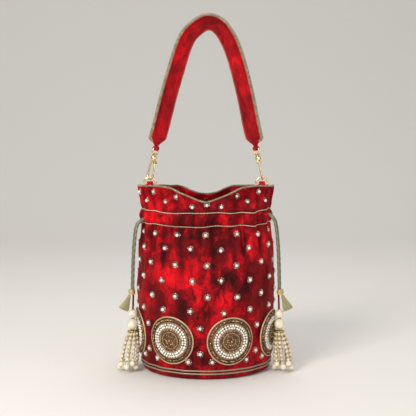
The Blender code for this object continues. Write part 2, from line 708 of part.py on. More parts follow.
def make_strand(hand, index, pivot, top, foot_shift, finish, parent):
    turn = 2 * math.pi * (index + 0.5) / STRANDS
    spread = Vector((math.cos(turn), math.sin(turn), 0))
    start = top + spread * STRAND_RING_TOP
    short = (0.0, 0.5, 0.2, 1.0, 0.35, 0.75)[index % STRANDS]
    room = pivot.z + top.z - STRAND_CLEARANCE
    beads = int((room - BEAD_PITCH * 1.6 * short) / BEAD_PITCH)
    end = top + foot_shift + spread * STRAND_RING_FOOT
    end.z = top.z - beads * BEAD_PITCH
    path, radii = [], []
    for i in range(2 * beads + 1):
        part = i / (2 * beads)
        at = start + (end - start) * part
        at += spread * 0.0012 * math.sin(math.pi * part)
        path.append(at)
        radii.append(BEAD_RADIUS if i % 2 else THREAD_RADIUS)
    made = sweep(path, lambda i: round_section(radii[i], 5), Vector((0, 1, 0)))
    add_mesh(f"bead_strand_{side_name(hand)}_{index + 1}", *made, finish, parent, smooth=False)


def main():
    for old in list(bpy.data.objects):
        bpy.data.objects.remove(old, do_unlink=True)
    velvet = material("red velvet", (0.56, 0.008, 0.016), 0.55)
    satin = material("maroon lining", (0.20, 0.01, 0.02), 0.45)
    card = material("grey card", (0.45, 0.43, 0.40), 0.9)
    gold = material("gold metal", (0.80, 0.58, 0.25), 0.25, 1.0)
    silver = material("silver zari", (0.45, 0.43, 0.32), 0.45, 0.5)
    beadwork = material("antique beadwork", (0.36, 0.26, 0.15), 0.4, 0.4)
    pearl = material("ivory pearl", (0.86, 0.80, 0.66), 0.2)
    thread = material("olive thread", (0.46, 0.42, 0.22), 0.6)
    finishes = {"velvet": velvet, "gold": gold, "pearl": pearl, "thread": thread}

    make_shell(velvet)
    make_lining(satin)
    make_board(card)
    for index in range(MEDALLIONS):
        make_medallion(index, beadwork)
    strap_axis = make_strap(velvet)
    for hand in (-1, 1):
        make_casing_cord(hand, silver)
        for strand in (-1, 1):
            make_free_cord(hand, strand, silver)
        make_tab(hand, velvet)
        make_ring(hand, gold)
        make_hook(hand, gold, strap_axis)
        make_tassel(hand, finishes)


main()
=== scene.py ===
# A round velvet potli bag with beaded medallions, a clip-on strap and pearl tassels.
# Everything is in metres, +Z up, with the bag's front towards -Y.
import math

import bpy
import numpy as np
from mathutils import Matrix, Vector


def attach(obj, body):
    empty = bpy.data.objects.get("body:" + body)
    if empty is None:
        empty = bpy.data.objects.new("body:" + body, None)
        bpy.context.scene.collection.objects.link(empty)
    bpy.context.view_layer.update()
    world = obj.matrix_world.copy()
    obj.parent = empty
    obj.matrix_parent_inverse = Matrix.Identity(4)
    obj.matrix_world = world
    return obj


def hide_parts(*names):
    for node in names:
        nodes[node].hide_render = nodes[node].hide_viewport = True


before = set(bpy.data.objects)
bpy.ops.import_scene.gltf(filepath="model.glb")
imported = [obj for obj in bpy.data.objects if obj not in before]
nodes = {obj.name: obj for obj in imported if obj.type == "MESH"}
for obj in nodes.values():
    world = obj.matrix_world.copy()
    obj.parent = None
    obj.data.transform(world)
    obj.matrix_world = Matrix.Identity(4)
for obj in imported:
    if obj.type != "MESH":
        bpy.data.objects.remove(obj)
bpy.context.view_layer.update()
rng = np.random.default_rng(11)
print("frame loaded:", len(nodes), "nodes")

# Sizes that several pieces share, the same as the CAD's. A half size is (wide, deep).
bag = {
    "height": 0.199,
    "casingHigh": 0.175,
    "casingLow": 0.1606,
    "casingMid": 0.1678,
    "frill": 0.024,
    "baseHalf": (0.070, 0.067),
    "bodyHalf": (0.075, 0.069),
    "casingHalf": (0.069, 0.044),
    "mouthHalf": (0.074, 0.036),
    "baseRound": 0.0045,
    "wall": 0.0016,
    "pleats": 16,
    "pleatDepth": 0.0022,
    "frillPleatDepth": 0.0032,
    "dipDepth": 0.0135,
    "dipWidth": 0.026,
    "seamHalf": 0.0030,
    "gap": 0.0003,
    "ringReach": 0.061,
    "ringCrown": 0.2091,
    "hookLean": math.radians(12),
}


# Materials

def newMaterial(name, settings):
    # A Principled material whose constant values sit on the shader's own sockets.
    made = bpy.data.materials.new(name)
    made.use_nodes = True
    shader = made.node_tree.nodes["Principled BSDF"]
    for socket, value in settings.items():
        shader.inputs[socket].default_value = value
    return made, made.node_tree, shader


def addNode(tree, kind, **settings):
    made = tree.nodes.new(kind)
    for name, value in settings.items():
        if name in made.inputs:
            made.inputs[name].default_value = value
        else:
            setattr(made, name, value)
    return made


def addSockets(group, way, kinds):
    for name, kind in kinds.items():
        group.interface.new_socket(name, in_out=way, socket_type="NodeSocket" + kind)


def addNoise(tree, place, **settings):
    made = addNode(tree, "ShaderNodeTexNoise", **settings)
    tree.links.new(place, made.inputs["Vector"])
    return made


def mapRange(tree, source, settings):
    made = tree.nodes.new("ShaderNodeMapRange")
    for socket, value in settings.items():
        made.inputs[socket].default_value = value
    tree.links.new(source, made.inputs["Value"])
    return made.outputs[0]


def multiplyAdd(tree, source, factor, added):
    made = addNode(tree, "ShaderNodeMath", operation="MULTIPLY_ADD")
    tree.links.new(source, made.inputs[0])
    made.inputs[1].default_value = factor
    tree.links.new(added, made.inputs[2])
    return made.outputs[0]


def mixColor(tree, factor, first, second):
    made = tree.nodes.new("ShaderNodeMix")
    made.data_type = "RGBA"
    for index, value in ((0, factor), (6, first), (7, second)):
        if isinstance(value, bpy.types.NodeSocket):
            tree.links.new(value, made.inputs[index])
        else:
            made.inputs[index].default_value = value
    return made.outputs[2]


def scaledColor(tree, color, factor):
    made = addNode(tree, "ShaderNodeVectorMath", operation="SCALE")
    tree.links.new(color, made.inputs[0])
    tree.links.new(factor, made.inputs["Scale"])
    return made.outputs[0]


def addBump(tree, shader, height, strength, distance):
    bump = addNode(tree, "ShaderNodeBump", Strength=strength, Distance=distance)
    tree.links.new(height, bump.inputs["Height"])
    tree.links.new(bump.outputs[0], shader.inputs["Normal"])


pile = {
    "stretch": (1.0, 1.0, 0.68),
    "bendScale": 38.0,
    "bendReach": 0.016,
    "patchScale": 17.0,
    "patchShare": 0.75,
    "toneRange": {"From Min": 0.70, "From Max": 1.04},
    "creaseScale": 230.0,
    "creaseShare": 0.8,
    "fibreScale": 2600.0,
    "fibreShade": {"To Min": 0.62, "To Max": 1.3},
    # the painted sheen of pile seen edge-on
    "paintedSheenBlend": 0.25,
    "paintedSheenShare": 0.55,
    # the painted shade in the valleys between gathers
    "foldShadeStrength": 0.80,
    "foldShadeTone": 0.4,
    "bump": 0.8,
    "bumpDepth": 0.0008,
}


def makePileGroup():
    # Crushed pile: random blotches where the nap lies flat or stands up, painted in the colour as the sheen and shade
    # they would catch, with fine fibre grain.
    group = bpy.data.node_groups.new("crushedPile", "ShaderNodeTree")
    addSockets(group, "INPUT", {"Blotch Scale": "Float", "Dark": "Color", "Middle": "Color", "Bright": "Color"})
    addSockets(group, "OUTPUT", {"Color": "Color", "Height": "Float"})
    start = group.nodes.new("NodeGroupInput")
    end = group.nodes.new("NodeGroupOutput")
    link = group.links.new
    place = addNode(group, "ShaderNodeTexCoord")
    stretch = addNode(group, "ShaderNodeMapping", Scale=pile["stretch"])
    link(place.outputs["Object"], stretch.inputs["Vector"])
    # The blotches and the creases are bent by a slower noise, so that they don't look even.
    bend = addNoise(group, stretch.outputs[0], Scale=pile["bendScale"], Detail=3.0)
    push = addNode(group, "ShaderNodeVectorMath", operation="MULTIPLY_ADD")
    link(bend.outputs["Color"], push.inputs[0])
    push.inputs[1].default_value = (pile["bendReach"],) * 3
    link(stretch.outputs[0], push.inputs[2])
    blotch = addNoise(group, push.outputs[0], Detail=9.0, Roughness=0.74, Distortion=0.5)
    link(start.outputs["Blotch Scale"], blotch.inputs["Scale"])
    patch = addNoise(group, place.outputs["Object"], Scale=pile["patchScale"], Detail=2.0, Distortion=0.4)
    fibre = addNoise(group, place.outputs["Object"], Scale=pile["fibreScale"], Detail=2.0)
    creases = addNoise(group, push.outputs[0], Scale=pile["creaseScale"], Detail=4.0, Distortion=0.6)
    tone = multiplyAdd(group, patch.outputs[0], pile["patchShare"], blotch.outputs[0])
    level = mapRange(group, tone, pile["toneRange"])
    lower = mapRange(group, level, {"From Max": 0.5})
    upper = mapRange(group, level, {"From Min": 0.5})
    deep = mixColor(group, lower, start.outputs["Dark"], start.outputs["Middle"])
    bright = mixColor(group, upper, deep, start.outputs["Bright"])
    speck = mapRange(group, fibre.outputs[0], pile["fibreShade"])
    link(scaledColor(group, bright, speck), end.inputs["Color"])
    height = multiplyAdd(group, creases.outputs[0], pile["creaseShare"], fibre.outputs[0])
    link(height, end.inputs["Height"])
    return group


pileGroup = makePileGroup()


def makeVelvet(name, dark, middle, bright, blotchScale, settings):
    made, tree, shader = newMaterial(name, settings)
    nap = tree.nodes.new("ShaderNodeGroup")
    nap.node_tree = pileGroup
    nap.inputs["Blotch Scale"].default_value = blotchScale
    for socket, value in (("Dark", dark), ("Middle", middle), ("Bright", bright)):
        nap.inputs[socket].default_value = (*value, 1)
    # Painted sheen: pile that is seen edge-on is lightened in the colour, and painted shade darkens the valleys between
    # gathers.
    rim = addNode(tree, "ShaderNodeLayerWeight", Blend=pile["paintedSheenBlend"])
    paintedSheenColor = (*[c * pile["paintedSheenShare"] for c in bright], 1)
    turned = mixColor(tree, rim.outputs["Facing"], nap.outputs["Color"], paintedSheenColor)
    foldShadeInput = addNode(tree, "ShaderNodeAttribute", attribute_name="fold")
    shade = addNode(tree, "ShaderNodeMath", operation="MULTIPLY")
    tree.links.new(foldShadeInput.outputs["Fac"], shade.inputs[0])
    shade.inputs[1].default_value = pile["foldShadeStrength"]
    folded = mixColor(tree, shade.outputs[0], turned, (*[c * pile["foldShadeTone"] for c in dark], 1))
    tree.links.new(folded, shader.inputs["Base Color"])
    addBump(tree, shader, nap.outputs["Height"], pile["bump"], pile["bumpDepth"])
    return made


def makeTinted(name, settings, dentScale, strength):
    # Beads, wire and metal thread: each piece's own tint, slightly uneven, with fine dents.
    made, tree, shader = newMaterial(name, settings)
    tint = addNode(tree, "ShaderNodeAttribute", attribute_name="tint")
    place = addNode(tree, "ShaderNodeTexCoord")
    uneven = addNoise(tree, place.outputs["Object"], Scale=dentScale, Detail=3.0)
    shade = mapRange(tree, uneven.outputs[0], {"To Min": 0.6, "To Max": 1.35})
    tree.links.new(scaledColor(tree, tint.outputs["Color"], shade), shader.inputs["Base Color"])
    addBump(tree, shader, uneven.outputs[0], strength, 0.0002)
    return made


velvetSheen = {
    "Roughness": 0.58, "Sheen Weight": 0.16, "Sheen Roughness": 0.3,
    "Sheen Tint": (1.0, 0.03, 0.04, 1), "Specular IOR Level": 0.12,
}
# The dark and bright reds of each velvet are the crushed pile's painted shade and painted sheen, with the middle red
# between them.
redVelvet = makeVelvet(
    "redVelvet", (0.022, 0.0003, 0.0015), (0.21, 0.0008, 0.004), (0.86, 0.003, 0.011), 105.0, velvetSheen
)
# Velvet for the strap and the tabs: its reds are raised above the bag's to paint in the light that falls on the strap.
paintedLightVelvet = makeVelvet(
    "paintedLightVelvet", (0.060, 0.0004, 0.002), (0.44, 0.0016, 0.006), (0.94, 0.005, 0.014), 120.0, velvetSheen
)
satin = makeVelvet(
    "maroonSatin", (0.06, 0.002, 0.006), (0.14, 0.004, 0.012), (0.24, 0.01, 0.022), 40.0,
    {"Roughness": 0.36, "Sheen Weight": 0.1, "Specular IOR Level": 0.5},
)
beadMetal = makeTinted("beadMetal", {"Metallic": 0.85, "Roughness": 0.3, "Specular IOR Level": 0.6}, 700.0, 0.25)
threadMetal = makeTinted("threadMetal", {"Metallic": 0.45, "Roughness": 0.42, "Sheen Weight": 0.2}, 1500.0, 0.5)
beadPearl = makeTinted(
    "beadPearl",
    {
        "Roughness": 0.22, "Coat Weight": 0.55, "Coat Roughness": 0.12, "Subsurface Weight": 0.12,
        "Subsurface Radius": (0.002, 0.0015, 0.001), "Specular IOR Level": 0.6,
    },
    260.0, 0.06,
)
goldMetal = makeTinted("goldMetal", {"Metallic": 1.0, "Roughness": 0.2, "Specular IOR Level": 0.6}, 420.0, 0.08)
card = makeTinted("greyCard", {"Roughness": 0.9}, 900.0, 0.4)
print("materials made")


# Meshes

def linked(name, data):
    made = bpy.data.objects.new(name, data)
    bpy.context.scene.collection.objects.link(made)
    return made


def finish(made, body, replaced=(), smooth=True):
    if smooth:
        made.data.shade_smooth()
    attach(made, body)
    if replaced:
        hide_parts(*replaced)
    return made


def setTint(mesh, tint):
    values = np.ones((len(mesh.vertices), 4), np.float32)
    values[:, :3] = tint
    mesh.attributes.new("tint", "FLOAT_COLOR", "POINT").data.foreach_set("color", values.ravel())


def newMesh(name, points, faces, material, tint=None):
    mesh = bpy.data.meshes.new(name)
    mesh.from_pydata(np.asarray(points, float).tolist(), [], [tuple(f) for f in faces])
    mesh.materials.append(material)
    if tint is not None:
        setTint(mesh, tint)
    return linked(name, mesh)


def joined(parts):
    # One list of points and faces, and of tints, out of several.
    points, faces, tints, first = [], [], [], 0
    for part in parts:
        points.append(np.asarray(part[0], float))
        faces.extend([tuple(i + first for i in f) for f in part[1]])
        if len(part) > 2:
            tints.append(np.tile(np.asarray(part[2], float), (len(part[0]), 1)))
        first += len(part[0])
    return np.concatenate(points), faces, np.concatenate(tints) if tints else None


def ringFaces(rows, columns, closedRows=False):
    # Faces between rings of points, with a cap at each end unless the last ring joins the first.
    faces = []
    for i in range(rows if closedRows else rows - 1):
        low, high = i * columns, (i + 1) % rows * columns
        for k in range(columns):
            after = (k + 1) % columns
            faces.append((low + k, low + after, high + after, high + k))
    if not closedRows:
        faces.append(tuple(range(columns))[::-1])
        faces.append(tuple(range((rows - 1) * columns, rows * columns)))
    return faces


def fullTurn(count):
    # Even angles all the way round.
    return np.arange(count) / count * 2 * math.pi


def varied(tint, factor):
    return tuple(np.clip(np.array(tint) * factor, 0, 1))


def unit(vectors):
    return vectors / np.maximum(np.linalg.norm(vectors, axis=-1, keepdims=True), 1e-12)


def evenPath(path, step, closed=False):
    # Points at even steps along a path.
    path = np.asarray(path, float)
    if closed:
        path = np.concatenate([path, path[:1]])
    lengths = np.concatenate([[0], np.cumsum(np.linalg.norm(np.diff(path, axis=0), axis=1))])
    count = max(int(round(lengths[-1] / step)), 4)
    at = np.linspace(0, lengths[-1], count + 1)
    found = np.stack([np.interp(at, lengths, path[:, k]) for k in range(3)], 1)
    return (found[:-1] if closed else found), lengths[-1]


def routeCurve(route, count):
    # A Catmull-Rom curve through the route's points, as the CAD draws it.
    points = np.asarray(route, float)
    ends = np.concatenate([[2 * points[0] - points[1]], points, [2 * points[-1] - points[-2]]])
    found = []
    for i in range(count):
        at = i / (count - 1) * (len(points) - 1)
        k = min(int(at), len(points) - 2)
        t = at - k
        a, b, c, d = ends[k : k + 4]
        found.append(0.5 * (2 * b + (c - a) * t + (2 * a - 5 * b + 4 * c - d) * t**2 + (3 * b - a - 3 * c + d) * t**3))
    return np.array(found)


def pathFrames(path, closed, side):
    # Two directions across the path at each of its points, the first as near to side as it can be.
    if closed:
        along = unit(np.roll(path, -1, 0) - np.roll(path, 1, 0))
    else:
        along = unit(np.gradient(path, axis=0))
    side = np.broadcast_to(np.asarray(side, float), path.shape)
    wide = unit(side - along * (side * along).sum(1, keepdims=True))
    return wide, np.cross(along, wide)


def ropeTube(path, radius, strands, lay, sides, step, groove=0.24, side=(0, 1, 0), closed=False):
    # A twisted cord: a tube with one groove for each strand, turning along its length.
    path, length = evenPath(path, step, closed)
    wide, thick = pathFrames(path, closed, side)
    turns = max(round(length / lay), 1) if closed else length / lay
    rows = len(path)
    twist = np.arange(rows) / (rows if closed else rows - 1) * turns * 2 * math.pi
    around = fullTurn(sides)
    lobe = np.abs(np.cos(strands * (around[None, :] - twist[:, None] / strands) / 2))
    reach = radius * (1 - groove + groove * lobe ** 0.7)
    points = (
        path[:, None]
        + wide[:, None] * (reach * np.cos(around))[..., None]
        + thick[:, None] * (reach * np.sin(around))[..., None]
    )
    return points.reshape(-1, 3), ringFaces(rows, sides, closed)


def turnedProfile(profile, sides, ridges=0, depth=0.0, twist=0.0):
    # Turns (radius, height) pairs round Z, with ridges as of laid threads.
    around = fullTurn(sides)
    points = []
    for row, (radius, height) in enumerate(profile):
        reach = radius * (1 + depth * np.cos(ridges * around + twist * row))
        points.append(np.stack([reach * np.cos(around), reach * np.sin(around), np.full(sides, height)], 1))
    return np.concatenate(points), ringFaces(len(profile), sides)


def placed(part, matrix):
    rotation = np.array(matrix.to_3x3())
    return (np.asarray(part[0]) @ rotation.T + np.array(matrix.translation), *part[1:])


# Beads: one node group puts a bead at each point of a mesh, with that point's size and tint

beading = {"seed": 4, "smallest": 0.94, "largest": 1.05}


def makeBeadGroup():
    group = bpy.data.node_groups.new("beadsAtPoints", "GeometryNodeTree")
    inputs = {"Geometry": "Geometry", "Smoothness": "Int", "Roundness": "Float", "Seed": "Int", "Material": "Material"}
    addSockets(group, "INPUT", inputs)
    addSockets(group, "OUTPUT", {"Geometry": "Geometry"})
    start, end = group.nodes.new("NodeGroupInput"), group.nodes.new("NodeGroupOutput")
    link = group.links.new
    bead = addNode(group, "GeometryNodeMeshIcoSphere", Radius=1.0)
    link(start.outputs["Smoothness"], bead.inputs["Subdivisions"])
    squash = group.nodes.new("ShaderNodeCombineXYZ")
    squash.inputs[0].default_value = squash.inputs[1].default_value = 1.0
    link(start.outputs["Roundness"], squash.inputs[2])
    shaped = addNode(group, "GeometryNodeTransform")
    link(bead.outputs["Mesh"], shaped.inputs["Geometry"])
    link(squash.outputs[0], shaped.inputs["Scale"])
    smooth = addNode(group, "GeometryNodeSetShadeSmooth")
    link(shaped.outputs[0], smooth.inputs["Geometry"])
    size = addNode(group, "GeometryNodeInputNamedAttribute", data_type="FLOAT", Name="size")
    aim = addNode(group, "GeometryNodeInputNamedAttribute", data_type="FLOAT_VECTOR", Name="aim")
    turn = addNode(group, "FunctionNodeAlignRotationToVector", axis="Z")
    link(aim.outputs["Attribute"], turn.inputs["Vector"])
    vary = addNode(group, "FunctionNodeRandomValue", data_type="FLOAT")
    vary.inputs[2].default_value = beading["smallest"]
    vary.inputs[3].default_value = beading["largest"]
    link(start.outputs["Seed"], vary.inputs["Seed"])
    scale = addNode(group, "ShaderNodeMath", operation="MULTIPLY")
    link(size.outputs["Attribute"], scale.inputs[0])
    link(vary.outputs[1], scale.inputs[1])
    copies = group.nodes.new("GeometryNodeInstanceOnPoints")
    link(start.outputs["Geometry"], copies.inputs["Points"])
    link(smooth.outputs[0], copies.inputs["Instance"])
    link(turn.outputs[0], copies.inputs["Rotation"])
    link(scale.outputs[0], copies.inputs["Scale"])
    real = group.nodes.new("GeometryNodeRealizeInstances")
    link(copies.outputs[0], real.inputs["Geometry"])
    coat = group.nodes.new("GeometryNodeSetMaterial")
    link(real.outputs[0], coat.inputs["Geometry"])
    link(start.outputs["Material"], coat.inputs["Material"])
    link(coat.outputs[0], end.inputs[0])
    return group


beadGroup = makeBeadGroup()


def realMesh(source, name, allLayers):
    # The source's mesh as its modifiers leave it, on an object of its own. The source is removed.
    graph = bpy.context.evaluated_depsgraph_get()
    mesh = bpy.data.meshes.new_from_object(
        source.evaluated_get(graph), preserve_all_data_layers=allLayers, depsgraph=graph
    )
    bpy.data.objects.remove(source)
    mesh.name = name
    return linked(name, mesh)


def makeBeads(name, beads, material, smoothness=2, roundness=1.0):
    # beads is a list of (place, radius, tint, aim). The result is a plain mesh.
    mesh = bpy.data.meshes.new(name + "Points")
    mesh.from_pydata([tuple(b[0]) for b in beads], [], [])
    for attribute, kind, field, values in (
        ("size", "FLOAT", "value", [b[1] for b in beads]),
        ("tint", "FLOAT_COLOR", "color", [(*b[2], 1.0) for b in beads]),
        ("aim", "FLOAT_VECTOR", "vector", [tuple(b[3]) for b in beads]),
    ):
        made = mesh.attributes.new(attribute, kind, "POINT")
        made.data.foreach_set(field, np.array(values, np.float32).ravel())
    source = linked(name + "Source", mesh)
    change = source.modifiers.new("beads", "NODES")
    change.node_group = beadGroup
    sockets = {item.name: item.identifier for item in beadGroup.interface.items_tree if item.in_out == "INPUT"}
    settings = {"Smoothness": smoothness, "Roundness": roundness, "Seed": beading["seed"], "Material": material}
    for socket, value in settings.items():
        change[sockets[socket]] = value
    return realMesh(source, name, True)


# The bag's velvet

def ease(value):
    value = np.clip(value, 0, 1)
    return value * value * (3 - 2 * value)


def makeStations():
    # (height, half width, half depth, pleat depth) at each of the velvet's levels.
    (baseWide, baseDeep), edge = bag["baseHalf"], bag["baseRound"]
    (bodyWide, bodyDeep), low = bag["bodyHalf"], bag["casingLow"]
    pleat = bag["pleatDepth"]
    return np.array([
        (0.0, baseWide - edge, baseDeep - edge, 0.0),
        (edge / 3, baseWide - edge / 4, baseDeep - edge / 4, 0.0),
        (edge, baseWide, baseDeep, 0.0),
        (low * 0.30, bodyWide * 0.982, bodyDeep, 0.0),
        (low * 0.56, bodyWide, bodyDeep, 0.0),
        (low * 0.80, bodyWide * 0.977, bodyDeep * 0.90, pleat * 0.3),
        (low, *bag["casingHalf"], pleat * 0.7),
        (bag["casingMid"], *bag["casingHalf"], pleat),
        (bag["casingHigh"], *bag["casingHalf"], pleat * 0.7),
        (bag["height"], *bag["mouthHalf"], bag["frillPleatDepth"]),
    ])


stations = makeStations()


def sectionAt(level):
    # Half width, half depth and pleat depth at a level.
    k = np.clip(np.searchsorted(stations[:, 0], level, side="left"), 1, len(stations) - 1)
    low, high = stations[k - 1], stations[k]
    part = (level - low[..., 0]) / (high[..., 0] - low[..., 0])
    part = np.where(high[..., 0] <= bag["baseRound"], part, ease(part) * 0.5 + part * 0.5)
    return [low[..., i] + (high[..., i] - low[..., i]) * part for i in (1, 2, 3)]


# How the frill pinches together towards the two seams and stays open between them
mouth = {
    "openReach": 0.80,
    "openGain": 1.35,
    "cornerTaper": 0.10,
    "pinchedBy": 0.72,
    "pleatedReach": 0.74,
    "smoothBy": 0.45,
}


def velvetAt(angle, level, inset=0.0, pleated=True, lift=0.0):
    # The CAD's velvet, as arrays: the angle runs from the front towards +X. Returns places and normals.
    angle, level = np.broadcast_arrays(np.asarray(angle, float), np.asarray(level, float))
    wide, deep, pleat = sectionAt(level)
    side, front = np.sin(angle), np.cos(angle)
    x = (wide - inset) * side
    y = (deep - inset) * np.abs(front)
    rise = (level - bag["casingHigh"]) / bag["frill"]
    up = np.maximum(rise, 0)
    flat = np.maximum(bag["seamHalf"] - inset, bag["gap"])
    openPart = np.maximum(1 - np.abs(side) / mouth["openReach"], 0)
    corner = np.minimum(np.abs(front) / mouth["cornerTaper"], 1) * flat
    pinched = corner + (deep - bag["seamHalf"]) * ease(openPart * mouth["openGain"])
    y = np.where(rise > 0, y + (pinched - y) * ease(up / mouth["pinchedBy"]), y)
    y = -np.copysign(y, front)
    normal = unit(np.stack([side / wide, -front / deep, np.zeros_like(side)], -1))
    if pleated:
        kept = ease(3 * np.maximum(1 - np.abs(side) / mouth["pleatedReach"], 0))
        fade = np.where(rise > 0, 1 - ease(up / mouth["smoothBy"]) * (1 - kept), 1)
        wave = pleat * np.cos(bag["pleats"] * angle) * fade
        x = x + normal[..., 0] * wave
        y = y + normal[..., 1] * wave
    height = level - np.where(rise > 0, up * bag["dipDepth"] * np.exp(-((x / bag["dipWidth"]) ** 2)), 0)
    return np.stack([x, y, height], -1) + normal * np.asarray(lift)[..., None], normal


velvet = {
    "columns": 410,
    "rows": 184,
    "gather": 0.00208,
    "gatherDrop": 0.085,
    "crease": 0.0008,
    "tuck": 0.0010,
    "tuckHalf": 0.0013,
    "ruche": 0.0017,
    "ripple": 0.0013,
    # the painted shade in the gathers' valleys: where it starts, and the depth over which it grows
    "valleyShadeFrom": 0.30,
    "valleyShadeDepth": 0.0022,
    "innerWall": 0.0030,
    "lip": 0.0004,
}


def puffAt(angle, level):
    # How far the cloth stands off the CAD's smooth wall: gathers that run down from the casing,
    # soft dents on the body, and a tuck where the casing is stitched.
    below = np.clip((bag["casingLow"] - level) / velvet["gatherDrop"], 0, 1)
    gathers = (
        0.55 * np.cos(23 * angle + 1.3 * np.sin(3 * angle))
        + 0.45 * np.cos(37 * angle + 2.0 * np.sin(2 * angle + 1) + 30 * level)
    )
    fade = (1 - below) ** 1.4 * np.clip((bag["casingLow"] + 0.001 - level) / 0.003, 0, 1)
    dents = np.sin(9 * angle + 60 * level) * np.sin(5 * angle - 85 * level + 0.7)
    dents = dents + 0.5 * np.sin(17 * angle - 140 * level + 2.2)
    body = np.clip(level / 0.012, 0, 1) * np.clip((bag["casingLow"] - level) / 0.02, 0, 1)
    seams = (bag["casingLow"], bag["casingHigh"])
    tucks = sum(np.exp(-(((level - at) / velvet["tuckHalf"]) ** 2)) for at in seams)
    fill = np.sin(np.clip((level - seams[0]) / (seams[1] - seams[0]), 0, 1) * math.pi)
    ruche = fill * (0.45 + 0.55 * np.cos(39 * angle + 2 * np.sin(5 * angle)))
    frill = np.clip((level - bag["casingHigh"]) / bag["frill"], 0, 1)
    ripple = np.minimum(frill * 4, 1) * np.sin(27 * angle + 60 * level) * (1 - frill * 0.6)
    return (
        velvet["gather"] * gathers * fade
        + velvet["crease"] * dents * body
        - velvet["tuck"] * tucks
        + velvet["ruche"] * ruche
        + velvet["ripple"] * ripple
    )


def clothPoint(angle, level, lift=0.0):
    # A place on the finished cloth, with its outward normal.
    return velvetAt(angle, level, lift=puffAt(np.asarray(angle, float), np.asarray(level, float)) + lift)


def makeVelvetBody():
    columns, edge = velvet["columns"], bag["baseRound"]
    angle = fullTurn(columns)
    levels = np.concatenate([np.linspace(0, edge, 10)[:-1], np.linspace(edge, bag["height"], velvet["rows"])])
    grid, levelGrid = np.meshgrid(angle, levels)
    outer, _ = clothPoint(grid, levelGrid)
    # Inside, the pleats are followed down to the casing, and the wall below it is smooth.
    inner, _ = velvetAt(*np.meshgrid(angle, np.linspace(bag["height"], bag["casingLow"], 20)), inset=bag["wall"] * 0.8)
    down = np.linspace(bag["casingLow"] - 0.006, 0.006, 16)
    wall, _ = velvetAt(*np.meshgrid(angle, down), inset=velvet["innerWall"], pleated=False)
    low, _ = velvetAt(angle, np.full(columns, edge), inset=velvet["innerWall"], pleated=False)
    lip = (outer[-1] + inner[0]) / 2 + np.array([0, 0, velvet["lip"]])
    base = [outer[0] * np.array([t, t, 1]) for t in (0.02, 0.5, 0.9)]
    floor = [low * np.array([t, t, 0.45]) for t in (1.0, 0.5, 0.02)]
    points = np.concatenate([base, outer, lip[None], inner, wall, floor])
    made = newMesh("velvet_body", points.reshape(-1, 3), ringFaces(len(points), columns), redVelvet)
    # Painted shade: the valleys between the gathers get a fold value, and the material darkens the colour by it.
    fold = np.zeros((len(points), columns), np.float32)
    valleyShade = velvet["valleyShadeFrom"] - puffAt(grid, levelGrid) / velvet["valleyShadeDepth"]
    fold[len(base) : len(base) + len(levels)] = np.clip(valleyShade, 0, 1)
    made.data.attributes.new("fold", "FLOAT", "POINT").data.foreach_set("value", fold.ravel())
    finish(made, "bag", ["bag_shell"])


makeVelvetBody()
print("velvet made")


lining = {
    "columns": 200,
    "rows": 80,
    "top": 0.1815,
    "foot": 0.010,
    "outerInset": 0.0033,
    "innerInset": 0.0040,
    "fold": 0.00012,
    "cover": 0.0045,
    "coverFrom": 0.148,
    "coverTo": 0.1765,
    "floors": (0.0035, 0.0028),
}


def makeLining():
    # Satin inside the mouth and down the wall, sewn just below the rim.
    columns = lining["columns"]
    angle = fullTurn(columns)
    grid, levels = np.meshgrid(angle, np.linspace(lining["top"], lining["foot"], lining["rows"]))
    folds = lining["fold"] * np.cos(29 * grid + 40 * levels)
    # It stands further in at the casing, where the drawstrings run behind it.
    cover = lining["cover"] * ease((levels - lining["coverFrom"]) / 0.009)
    cover = cover * (1 - ease((levels - lining["coverTo"]) / 0.0045))
    outer, _ = velvetAt(grid, levels, inset=lining["outerInset"] + cover, pleated=False, lift=folds)
    inner, _ = velvetAt(grid, levels, inset=lining["innerInset"] + cover, pleated=False, lift=folds)
    under, floor = (np.array([0, 0, -drop]) for drop in lining["floors"])
    low = [outer[-1] * np.array([t, t, 1]) + under for t in (0.02, 0.5, 0.97)]
    high = [inner[-1] * np.array([t, t, 1]) + floor for t in (0.97, 0.5, 0.02)]
    points = np.concatenate([low, outer[::-1], inner, high])
    made = newMesh("satin_lining", points.reshape(-1, 3), ringFaces(len(points), columns), satin)
    finish(made, "bag", ["lining"])


makeLining()

# The medallions: a gold cord edge, brown and gold bead bands, white beads, and a bronze middle

